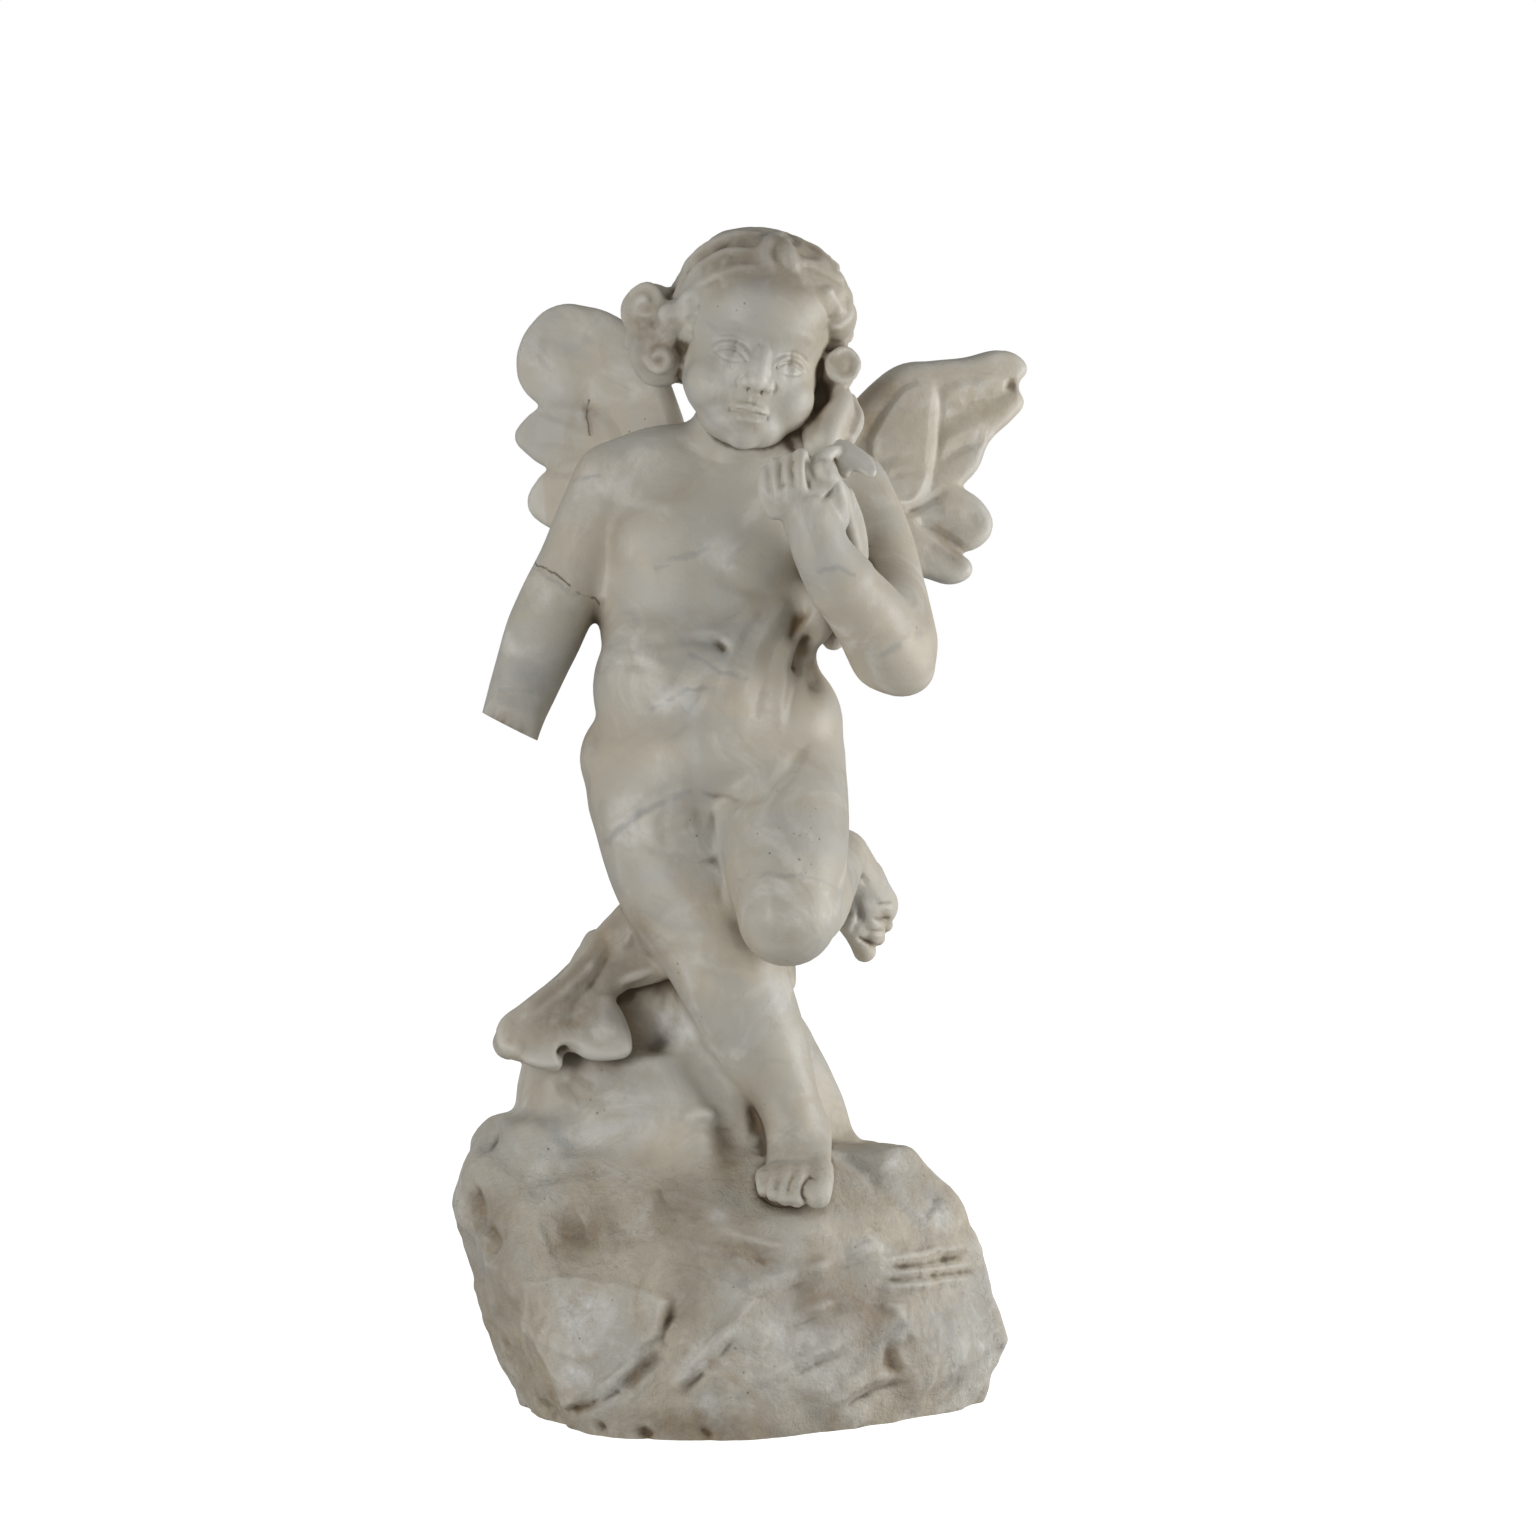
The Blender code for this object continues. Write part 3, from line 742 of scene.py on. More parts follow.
def makeHand():
    limb(*handPiece["palm"])
    for block in handPiece["block"]:
        lump(*block)
    for finger in handPiece["fingers"]:
        limb(*finger)
    limb(*handPiece["thumb"])
    limb(*handPiece["wrist"])
    skin = refuse("hand", grain["fine"])
    skin.relax(2)
    skin.fill(18)
    skin.strokes(handPiece["grooves"])
    skin.keep()
    for fold in handPiece["cloth"]:
        limb(*fold)
    sheet(handPiece["flap"], handPiece["flapPlane"], handPiece["flapThickness"], handPiece["flapEdge"])
    setAside()
    report("hand")


def makeFeet():
    for toe in footPiece["toes"]:
        limb(*toe)
    skin = refuse("toes", grain["fine"])
    skin.relax(2)
    skin.fill(8)
    skin.keep()
    raised = footPiece["raised"]
    along = raised["along"].normalized()
    across = raised["face"].cross(along).normalized()

    def at(forward, side, radius):
        return (*(raised["heel"] + along * forward + across * side), radius)

    for stations in raised["body"]:
        limb(*(at(*station) for station in stations))
    for toe in raised["toes"]:
        limb(*toe)
    setAside()
    report("feet")


# The head

headPlace = Matrix.Translation((19.5, -12.0, 792.0)) @ turned(y=14) @ turned(x=8) @ turned(z=10)
headPiece = {
    "mask": (
        ((0, 8, 12), (60, 71, 66)),
        ((0, -14, -26), (51, 52, 47)),
        ((0, -23, 22), (50, 45, 43)),
        ((0, -26, -8), (42, 36, 24)),
        ((-25, -37, -38), (24, 24, 25)),
        ((25, -37, -38), (24, 24, 25)),
        ((0, -36, -60), (34, 31, 19)),
        ((0, -53, -68), (15, 14, 12)),
        ((0, -48, -50), (20, 18, 16)),
    ),
    "features": (
        ((-22, -44.4, -12.5), (11.5, 10.2, 9.5)),
        ((22, -44.4, -12.5), (11.5, 10.2, 9.5)),
        ((-8, -63.0, -30), (5.8, 6.2, 5.2)),
        ((8, -63.0, -30), (5.8, 6.2, 5.2)),
        ((0, -61.5, -48.5), (13, 7.0, 4.8)),
        ((0, -60.5, -56.0), (10.5, 7.2, 5.0)),
        ((0, -57.0, -70), (13, 8, 9)),
    ),
    "nose": ((0, -53.5, 3, 7.5), (0, -57.5, -9, 7.2), (0, -62.0, -20, 7.2), (0, -64.0, -27.5, 7.8)),
    "sockets": (
        (-2.6, 16, [(-25, -10), (-19, -10)]),
        (-2.6, 16, [(19, -10), (25, -10)]),
        (-1.5, 10, [(0, -2), (0, -5)]),
    ),
}

# Fine strokes on the right half of the face, in the head's millimetres, mirrored for the left half
faceHalf = (
    (-1.0, 2.8, [(11, -8.5), (15, -4.4), (22, -2.4), (30, -4.0), (36, -8.8)]),
    (1.1, 3.0, [(10.5, -13.6), (14, -8.8), (22, -6.4), (30, -8.2), (35, -13.0)]),
    (-1.1, 1.9, [(12, -14.4), (16, -11.4), (22, -9.6), (29, -11.0), (33.5, -14.2)]),
    (-0.5, 1.8, [(13, -15.6), (18, -17.6), (23, -18.3), (29, -17.1), (33.5, -14.6)]),
    (-1.4, 2.4, [(10.8, -15.0), (12.2, -15.0)]),
    (0.5, 5.0, [(10, 5), (18, 10), (28, 11), (38, 6)]),
    (-1.1, 2.6, [(12.4, -36.0), (14.0, -31.0), (11.6, -26.0)]),
    (-2.2, 2.6, [(4.2, -36.2), (6.2, -35.8)]),
    (-1.3, 3.2, [(13.4, -52.2), (15.4, -52.4)]),
)
faceMiddle = (
    (-1.0, 3.2, [(0, -39.5), (0, -44.5)]),
    (1.0, 2.8, [(-13, -51.2), (-7, -48.6), (-2.8, -46.6), (0, -47.6), (2.8, -46.6), (7, -48.6), (13, -51.2)]),
    (-1.6, 2.0, [(-14, -52.2), (-7, -51.4), (0, -52.2), (7, -51.4), (14, -52.2)]),
    (1.1, 3.4, [(-9, -55.0), (-4, -57.0), (4, -57.0), (9, -55.0)]),
    (-1.7, 4.6, [(-9, -61.8), (0, -63.4), (9, -61.8)]),
    (-0.8, 5.0, [(-5, 0), (5, 0)]),
)


def makeHead():
    for centre, radii in headPiece["mask"]:
        lump(centre, radii, place=headPlace)
    clay.append(fuse("head", grain["mask"], 8))
    skin = refuse("head", grain["fine"])
    skin.fill(22)
    skin.relax(3)
    skin.strokes(headPiece["sockets"], space=headPlace)
    skin.relax(3)
    skin.keep()
    for centre, radii in headPiece["features"]:
        lump(centre, radii, place=headPlace)
    limb(*headPiece["nose"], place=headPlace)
    skin = refuse("head", grain["face"])
    skin.relax(3)
    skin.fill(26)
    skin.keep()
    report("head")


# Hair: rolled curls at the sides and nape, flat waved locks on the crown

hairPiece = {
    "cap": (
        ((0, 20, 20), (65, 74, 62)),
        ((0, -8, 49), (54, 50, 31)),
        ((-30, -10, 40), (32, 42, 28)),
        ((30, -10, 40), (32, 42, 28)),
        ((-51, -2, 12), (16, 28, 34)),
        ((51, -2, 12), (16, 28, 34)),
    ),
    "whorl": (0.0, 34.0, 84.0),
    "strands": 17,
    "strandDepth": 1.7,
    "partings": (
        (-2.4, 4.5, [(757, 244), (756, 254), (762, 266)]),
        (-3.6, 6.5, [(800, 254), (818, 266), (836, 276), (852, 286)]),
        (-1.6, 4.5, [(738, 238), (718, 252), (702, 270), (694, 288)]),
        (-2.2, 5.0, [(700, 262), (690, 280), (686, 292)]),
        (-1.4, 4.5, [(748, 240), (730, 262), (708, 276), (690, 296)]),
        (-1.4, 4.5, [(778, 234), (806, 244), (832, 262)]),
        (-1.2, 4.5, [(790, 270), (806, 276), (818, 288)]),
        (-2.2, 4.0, [(724, 252), (704, 264), (690, 282)]),
        (-1.8, 4.0, [(752, 262), (726, 268), (706, 280), (692, 300)]),
    ),
    # Locks laid on the head along the photograph: x, y, radius
    "frontLocks": (
        ((781, 237, 5.0), (769, 245, 6.4), (765, 257, 6.8), (771, 270, 5.6)),
        ((782, 246, 7.0), (788, 258, 8.0), (792, 268, 6.0)),
        ((763, 268, 4.0), (736, 270, 5.2), (713, 279, 6.0), (696, 294, 6.5), (687, 314, 6.0)),
        ((754, 252, 4.0), (730, 254, 5.0), (708, 264, 5.6), (692, 280, 6.0)),
        ((758, 236, 4.0), (730, 238, 5.0), (706, 250, 5.4), (688, 268, 5.0)),
        ((794, 262, 4.5), (815, 268, 6.0), (836, 281, 6.5)),
        ((796, 242, 4.0), (816, 252, 5.0), (834, 268, 5.0)),
        ((782, 234, 3.5), (800, 237, 4.4), (816, 244, 4.0)),
        ((690, 296, 6.0), (680, 312, 7.0), (677, 330, 7.0)),
        ((828, 292, 5.0), (838, 312, 6.0), (836, 332, 6.0)),
    ),
    "mass": (
        ((-58, -12, 812), (23, 22, 21)),
        ((-51, -16, 782), (23, 22, 27)),
        ((-42, -28, 798), (14, 14, 14)),
        ((76, -26, 806), (19, 22, 19)),
        ((78, -14, 770), (16, 22, 20)),
        ((60, -8, 730), (30, 20, 36)),
    ),
    # centre, radius, the way it faces, start angle, turns
    "curls": (
        ((-61, -30, 815), 19, (-0.3, -0.95, 0.1), 40, 1.25),
        ((-42, -42, 806), 14, (-0.2, -0.97, 0.0), 200, 1.2),
        ((-50, -36, 775), 18, (-0.25, -0.96, -0.05), 120, -1.25),
        ((-68, -18, 792), 15, (-0.7, -0.7, 0.0), 300, 1.25),
        ((-62, -14, 770), 12, (-0.5, -0.85, 0.0), 40, -1.2),
        ((77, -48, 808), 18, (0.3, -0.95, 0.1), 150, 1.3),
        ((84, -34, 770), 15, (0.35, -0.93, 0.0), 30, -0.95),
        ((80, -4, 742), 14, (0.5, -0.86, 0.0), 60, 1.2),
        ((86, 0, 800), 15, (0.85, -0.5, 0.2), 60, 1.2),
        ((-62, 20, 816), 16, (-0.95, 0.1, 0.2), 60, 1.2),
        ((-60, 26, 784), 17, (-0.9, 0.3, 0.0), 200, -1.2),
        ((88, 20, 772), 16, (0.9, 0.3, 0.0), 20, 1.2),
    ),
    "locks": (
        ((80, -22, 756, 8), (83, -30, 741, 10), (76, -36, 727, 12), (72, -40, 714, 12)),
        ((70, -26, 733, 8), (63, -32, 722, 9), (64, -38, 710, 9)),
        ((90, -12, 746, 6), (93, -18, 731, 7.5), (87, -26, 717, 8)),
    ),
    # height, reach, radius, how many
    "napeRows": ((-34, 56, 17, 8), (-10, 64, 17, 8), (14, 71, 16, 7)),
    "nape": {"start": 10, "sweep": 160, "droop": -0.15, "narrow": 0.93, "back": 8, "spin": 70, "turns": 1.3},
    # A curl in parts of its radius
    "curlShape": {
        "reach": 0.76,
        "inward": 0.62,
        "rise": 0.34,
        "sunk": 0.1,
        "thick": 0.23,
        "thinner": 0.05,
        "core": 0.84,
        "coreBack": 0.64,
    },
}


def curl(centre, radius, facing, start, turns):
    shape = hairPiece["curlShape"]
    facing = Vector(facing).normalized()
    side = facing.cross(Vector((0.0, 0.0, 1.0))).normalized()
    rise = side.cross(facing)
    stations = []
    steps = 12
    for step in range(steps + 1):
        share = step / steps
        angle = math.radians(start) + 2.0 * math.pi * turns * share
        reach = radius * (shape["reach"] - shape["inward"] * share * (abs(turns) > 1.0))
        spot = Vector(centre) + (side * math.cos(angle) + rise * math.sin(angle)) * reach
        spot += facing * radius * (shape["rise"] * share - shape["sunk"])
        stations.append((*spot, radius * (shape["thick"] - shape["thinner"] * share)))
    limb(*stations)
    lump(Vector(centre) - facing * radius * shape["coreBack"], (radius * shape["core"],) * 3)


def sightLine(spot):
    # From the camera through a pixel
    start = Vector([photoCamera[axis] for axis in "xyz"])
    middle = photoCamera["pixels"] / 2.0
    out = (spot[0] - middle) / photoCamera["focal"]
    up = (middle - spot[1]) / photoCamera["focal"]
    return start, Vector((out, 1.0, up))


def treeOf(skin):
    faces = [tuple(face.vertices) for face in skin.obj.data.polygons]
    return BVHTree.FromPolygons(skin.points.tolist(), faces)


def makeCap():
    for centre, radii in hairPiece["cap"]:
        lump(centre, radii, place=headPlace)
    skin = refuse("hairCap", grain["fine"])
    skin.fill(6)
    inverse = np.array(headPlace.inverted())
    local = skin.points @ inverse[:3, :3].T + inverse[:3, 3] - np.array(hairPiece["whorl"])
    bearing = np.arctan2(local[:, 0], -local[:, 1])
    reach = np.linalg.norm(local, axis=1)
    waver = np.array([noise.noise(spot) for spot in (skin.points / 26.0).tolist()])
    broken = np.array([noise.noise(spot) for spot in (skin.points / 13.0 + 7.0).tolist()])
    wave = np.sin(bearing * hairPiece["strands"] + waver * 7.0 + reach * 0.06)
    depth = hairPiece["strandDepth"] * np.clip((reach - 14.0) / 22.0, 0.0, 1.0) * (0.65 + 0.6 * broken)
    skin.push(wave * depth)
    skin.measure()
    skin.strokes(hairPiece["partings"])
    skin.relax(1)
    skin.keep()
    return treeOf(skin)


def makeHair():
    head = makeCap()
    for path in hairPiece["frontLocks"]:
        stations = []
        for x, y, radius in path:
            start, direction = sightLine((x, y))
            hit = head.ray_cast(start, direction)[0]
            if hit:
                stations.append((*(hit + direction * (radius * 0.5)), radius))
        if len(stations) > 1:
            limb(*stations)
    for centre, radii in hairPiece["mass"]:
        lump(centre, radii)
    for centre, radius, facing, start, turns in hairPiece["curls"]:
        curl(centre, radius, facing, start, turns)
    for stations in hairPiece["locks"]:
        limb(*stations)
    nape = hairPiece["nape"]
    for row, (height, reach, radius, count) in enumerate(hairPiece["napeRows"]):
        for number in range(count):
            along = nape["sweep"] * (number + 0.5 * (row % 2)) / (count - 1)
            bearing = math.radians(nape["start"] + along)
            out = Vector((math.cos(bearing), math.sin(bearing), nape["droop"]))
            x = math.cos(bearing) * reach * nape["narrow"]
            y = nape["back"] + math.sin(bearing) * reach
            spot = headPlace @ Vector((x, y, height))
            facing = headPlace.to_3x3() @ out
            turns = nape["turns"] if (number + row) % 2 else -nape["turns"]
            curl(spot, radius, facing, nape["spin"] * number, turns)
    skin = refuse("curls", grain["skin"])
    skin.relax(2)
    skin.fill(5)
    skin.roughen(11.0, 0.9, seed=2.0)
    skin.keep()
    report("hair")


# Wings

wingPiece = {
    "thickness": 22.0,
    "edge": 8.0,
    "right": {
        "root": (-40, 58, 701),
        "sweep": 25,
        "lobes": (
            (0, ((0, 0), (11, 40), (36, 95), (58, 115), (84, 130), (108, 129), (124, 118), (135, 102),
                 (138, 82), (132, 66), (114, 50), (84, 20), (40, -20))),
            (-3, ((50, 40), (112, 52), (130, 42), (138, 29), (128, 16), (106, 3), (56, -4))),
            (-6, ((44, 8), (104, 4), (119, -8), (125, -23), (117, -36), (80, -46), (38, -26))),
        ),
        "leading": (
            (-4, -6, 0, 12), (8, 40, 0, 11), (32, 90, 0, 10), (56, 111, 0, 9.5), (84, 121, 0, 8.5),
            (104, 119, 0, 8),
        ),
    },
    "left": {
        "root": (61, 58, 701),
        "sweep": 20,
        "lobes": (
            (0, ((0, 0), (20, 6), (34, 26), (60, 67), (78, 82), (96, 86), (126, 90), (159, 97), (174, 92),
                 (180, 82), (172, 70), (177, 56), (168, 44), (147, 24), (138, 4), (121, -12), (60, -44))),
            (3, ((50, 2), (120, -10), (144, -26), (149, -42), (136, -58), (118, -60), (50, -34))),
            (6, ((40, -22), (112, -58), (131, -74), (121, -85), (98, -83), (44, -56))),
        ),
        "leading": (
            (6, 0, 0, 13), (30, 28, 0, 12), (58, 58, 0, 12), (78, 73, 0, 11), (98, 77, 0, 9.5),
            (128, 81, 0, 8.5), (160, 88, 0, 8),
        ),
    },
    "roots": (
        ((-20, 38, 668, 22), (-44, 58, 700, 15), (-64, 68, 722, 11)),
        ((40, 38, 664, 22), (72, 62, 690, 15), (104, 72, 716, 11)),
        ((118, 40, 640, 8), (124, 34, 622, 8), (120, 26, 604, 6)),
    ),
    "coverts": (
        [
            (866, 440), (884, 408), (905, 384), (931, 384), (934, 410), (930, 455), (925, 492),
            (908, 510), (884, 508), (868, 500),
        ],
    ),
    "marks": (
        (-2.4, 6, [(1008, 396), (985, 399), (962, 402)]),
        (-1.6, 10, [(1000, 404), (970, 410), (945, 420)]),
        (1.6, 9, [(996, 378), (965, 386), (940, 396)]),
        (-1.8, 6, [(985, 440), (962, 448), (940, 462)]),
        (1.4, 8, [(985, 425), (958, 434), (938, 446)]),
        (1.8, 5, [(932, 386), (935, 410), (931, 455), (926, 490)]),
        (-1.4, 5, [(938, 392), (940, 415), (937, 455), (930, 492)]),
        (1.6, 5, [(886, 498), (905, 502), (920, 494)]),
        (-2.4, 6, [(884, 512), (904, 514), (922, 506), (946, 490)]),
        (-1.6, 5, [(890, 476), (905, 472), (922, 474)]),
        (-2.5, 6, [(918, 520), (940, 534), (960, 546)]),
        (1.4, 12, [(940, 505), (965, 515)]),
        (-1.0, 6, [(930, 512), (955, 516), (978, 520)]),
        (-1.2, 6, [(925, 545), (945, 556), (960, 566)]),
        (-3.5, 7, [(1012, 380), (1008, 390)]),
        (-2.2, 6, [(545, 412), (562, 418), (584, 428)]),
        (-2.2, 6, [(552, 472), (566, 472), (580, 468)]),
        (-1.2, 8, [(536, 440), (560, 442), (584, 446)]),
        (-1.2, 10, [(540, 330), (536, 360), (552, 390)]),
        (-2.2, 3.2, [(587, 399), (586, 415), (590, 434)]),
        (-1.0, 9, [(560, 330), (566, 365), (580, 395)]),
        (-1.0, 9, [(590, 328), (600, 360), (608, 390)]),
    ),
    "backMarks": (
        [(30, 20), (60, 60), (92, 96), (112, 108)],
        [(34, 10), (70, 42), (104, 68), (124, 84)],
        [(40, 0), (78, 26), (112, 44), (130, 34)],
        [(44, -10), (80, 0), (104, -6), (118, -18)],
        [(60, 40), (100, 62), (140, 78), (164, 80)],
        [(60, 26), (104, 44), (146, 52), (166, 54)],
        [(54, 8), (96, 20), (128, 20), (142, 22)],
    ),
}


def wingPlace(root, side, sweep):
    out = Vector((side * math.cos(math.radians(sweep)), math.sin(math.radians(sweep)), 0.0))
    up = Vector((0.0, 0.0, 1.0))
    axes = Matrix((out, up, out.cross(up))).transposed().to_4x4()
    return Matrix.Translation(root) @ axes


def makeWings():
    backMarks = []
    for name, side in (("right", -1), ("left", 1)):
        wing = wingPiece[name]
        place = wingPlace(wing["root"], side, wing["sweep"])
        for lift, outline in wing["lobes"]:
            blade(place, outline, lift, wingPiece["thickness"], wingPiece["edge"])
        limb(*((out, up, depth, radius) for out, up, depth, radius in wing["leading"]), place=place)
        behind = Vector(place.to_3x3() @ Vector((0, 0, 1)))
        behind *= 1 if behind.y > 0 else -1
        for path in wingPiece["backMarks"]:
            spots = [place @ Vector((out, up, 0)) + behind * 12 for out, up in path]
            backMarks.append((-1.5, 6.0, [tuple(spot) for spot in spots]))
    for stations in wingPiece["roots"]:
        limb(*stations)
    skin = refuse("wings", grain["skin"])
    skin.relax(4)
    skin.fill(8)
    for outline in wingPiece["coverts"]:
        skin.relief(3.0, 6.0, outline)
    skin.strokes(wingPiece["marks"])
    skin.strokes3d(backMarks)
    skin.relax(1)
    skin.keep()
    report("wings")


# Cloth over the stump, and the veil behind the hips

clothPiece = {
    # The hanging end, drawn on the photograph and set on a plane that leans back
    "outline": [
        (634, 900), (602, 926), (578, 950), (563, 974), (542, 990), (518, 1008), (499, 1024),
        (496, 1040), (503, 1054), (520, 1060), (540, 1067), (561, 1067), (564, 1051), (574, 1050),
        (588, 1056), (610, 1058), (631, 1052), (632, 1040), (623, 1014), (614, 992), (640, 985),
        (677, 968), (668, 940), (655, 912),
    ],
    "plane": (-50.0, 250.0, 0.55),  # y at a height, and how far it leans back per millimetre up
    "thickness": 20.0,
    "edge": 6.0,
    "mass": (
        ((-112, 12, 292), (44, 22, 26), (0, -38, 0)),
        ((-92, 12, 318), (34, 20, 22), (0, -38, 0)),
        ((-66, 2, 346), (38, 20, 27), (0, -20, 0)),
    ),
    "rolls": (
        (
            (-60, 26, 372, 9), (-98, 18, 337, 9), (-124, 2, 310, 10), (-150, -14, 286, 12),
            (-162, -26, 270, 13),
        ),
        ((-52, 8, 350, 9), (-80, -2, 326, 11), (-104, -14, 300, 12), (-122, -28, 276, 10)),
        ((-46, 4, 340, 10), (-70, -8, 322, 9), (-88, -20, 308, 7)),
        ((-56, 34, 368, 9), (-92, 40, 328, 11), (-128, 34, 290, 13), (-150, 20, 262, 13)),
    ),
    "band": (
        (-76, 10, 446, 7), (-80, 44, 454, 11), (-36, 74, 474, 12), (24, 74, 492, 12), (66, 42, 508, 11),
        (72, 16, 516, 8),
    ),
    "hanging": (
        ((-84, 34, 446), (-74, 58, 412), (-60, 62, 366), (-66, 56, 310)),
        ((-50, 68, 462), (-46, 82, 424), (-38, 84, 372), (-44, 88, 300)),
        ((-14, 76, 474), (-12, 88, 430), (-10, 88, 372), (-14, 100, 290)),
        ((22, 74, 484), (22, 84, 436), (16, 80, 380), (16, 96, 296)),
        ((56, 58, 496), (48, 66, 444), (34, 68, 390), (38, 76, 310)),
    ),
    "hangingRadii": (6, 11, 14.3, 13.2),
    # What the folds behind lie on, so that they read as one sheet
    "backing": (
        ((-8, 54, 474), (66, 28, 36)),
        ((-12, 56, 430), (70, 30, 60)),
        ((-14, 62, 360), (62, 32, 80)),
    ),
    "tail": ((74, 20, 600, 14), (80, 16, 582, 12), (78, 10, 570, 9)),
    "marks": (
        (3.5, 14, [(606, 934), (584, 962), (560, 990), (524, 1018)]),
        (-1.6, 12, [(594, 944), (614, 942)]),
        (2.5, 9, [(628, 912), (630, 930), (624, 946)]),
        (-2.0, 7, [(640, 912), (640, 930), (632, 950)]),
        (3.0, 9, [(598, 962), (584, 980), (566, 998)]),
        (-3.0, 12, [(594, 974), (580, 990), (570, 1012), (570, 1030)]),
        (-1.6, 12, [(556, 1008), (546, 1024), (544, 1040)]),
        (4.0, 16, [(604, 994), (604, 1018), (610, 1040)]),
        (3.0, 7, [(574, 1052), (594, 1056), (618, 1054), (631, 1046)]),
        (-2.5, 9, [(584, 1036), (606, 1040)]),
        (2.5, 6, [(522, 1058), (545, 1064), (560, 1062)]),
        (-1.8, 5, [(622, 990), (642, 983), (674, 968)]),
        (1.6, 9, [(620, 980), (642, 972), (664, 962)]),
        (-2.0, 6, [(614, 978), (634, 964), (660, 948)]),
        (-1.6, 9, [(503, 1038), (508, 1040)]),
        (-2.0, 9, [(524, 1036), (526, 1048), (523, 1058)]),
        (-9.0, 8, [(563, 1048), (566, 1062)]),
        (-2.6, 6, [(642, 905), (628, 930), (606, 960), (588, 990)]),
        (-2.2, 6, [(604, 938), (582, 965), (554, 992), (526, 1016)]),
        (-2.0, 5, [(652, 936), (628, 950), (612, 966)]),
    ),
}


def makeCloth():
    for centre, radii, turn in clothPiece["mass"]:
        lump(centre, radii, turn)
    for roll in clothPiece["rolls"]:
        limb(*roll)
    sheet(clothPiece["outline"], clothPiece["plane"], clothPiece["thickness"], clothPiece["edge"])
    skin = refuse("clothFront", grain["skin"])
    skin.relax(5)
    skin.fill(20)
    skin.strokes(clothPiece["marks"])
    skin.relax(1)
    skin.keep()
    limb(*clothPiece["band"])
    for fold in clothPiece["hanging"]:
        limb(*((*place, radius) for place, radius in zip(fold, clothPiece["hangingRadii"])))
    for centre, radii in clothPiece["backing"]:
        lump(centre, radii)
    skin = refuse("clothBack", grain["skin"])
    skin.relax(5)
    skin.fill(30)
    skin.keep()
    limb(*clothPiece["tail"])
    setAside()
    report("cloth")


# The whole statue

# Where parts run into each other: width in pixels, path
softJoins = (
    (34, [(690, 985), (712, 1040), (740, 1085)]),
    (26, [(826, 1060), (836, 1100)]),
    (22, [(785, 590), (800, 600)]),
    (13, [(724, 806), (730, 860), (738, 920), (756, 958)]),
    (12, [(622, 500), (610, 540), (602, 590)]),
    (10, [(696, 290), (706, 300)]),
    (24, [(608, 934), (636, 948), (662, 968)]),
)
# The cutter stays clear of the hip
breakPiece = {"at": (-162, -34, 504), "slant": 27.0, "size": (84, 120)}


def cutBox(name, place, size):
    bpy.ops.mesh.primitive_cube_add(size=1.0)
    box = bpy.context.object
    box.name = name
    box.data.transform(place @ Matrix.Diagonal((*size, 1.0)))
    return box


def makeStatue():
    makeRock()
    makeBody()
    makeWings()
    makeCloth()
    makeHead()
    makeHair()
    makeHand()
    makeFeet()
    clay.extend(finished)
    statue = fuse("angel_marble", grain["whole"])
    skin = Skin(statue)
    skin.relax(1)
    places, weight = skin.seen()
    joins = np.zeros(len(skin.points))
    for width, path in softJoins:
        near, amount = skin.bell(places, np.ones(len(weight)), width, path, taper=0)
        joins[near] = np.maximum(joins[near], np.clip(amount * 2.0, 0.0, 1.0))
    joins[skin.points[:, 1] > 60.0] = 0.0
    skin.fill(40, where=joins)
    report("fused: %d faces" % len(statue.data.polygons))
    return statue


statue = makeStatue()

# Fine work on the hand and the feet, drawn on the photograph
detailMarks = (
    (-1.0, 2.4, [(768, 466), (769, 480), (772, 496)]),
    (-1.0, 2.4, [(781, 459), (780, 474), (783, 489)]),
    (-1.0, 2.4, [(794, 457), (792, 470), (796, 484)]),
    (-1.6, 2.6, [(807, 458), (807, 474), (810, 489)]),
    (-0.6, 2.8, [(821, 500), (830, 493), (838, 482)]),
    (-2.4, 3.2, [(878, 905), (892, 904)]),
    (-2.6, 3.2, [(874, 919), (890, 919)]),
    (-2.6, 3.2, [(868, 932), (886, 932)]),
    (-3.0, 3.6, [(858, 938), (868, 943), (880, 949)]),
    (-2.4, 6.0, [(856, 900), (860, 918), (852, 934)]),
    (-1.6, 5.0, [(846, 866), (857, 873), (868, 884)]),
    (-1.2, 3.0, [(780, 486), (788, 485), (796, 484)]),
    (1.2, 5.0, [(827, 480), (831, 472)]),
    (-1.2, 4.0, [(800, 500), (812, 494), (824, 496)]),
    (-1.6, 2.6, [(772, 1169), (769, 1173), (766, 1182)]),
    (-1.8, 2.6, [(784, 1173), (779, 1180), (776, 1190)]),
    (-1.8, 2.6, [(796, 1173), (791, 1180), (788, 1193)]),
    (-2.6, 3.2, [(809, 1177), (804, 1184), (803, 1194), (808, 1203)]),
    (-2.0, 3.0, [(809, 1176), (816, 1178)]),
    (-1.8, 3.4, [(760, 1195), (775, 1204), (800, 1206)]),
)
detail = Skin(statue)
detail.strokes(detailMarks)


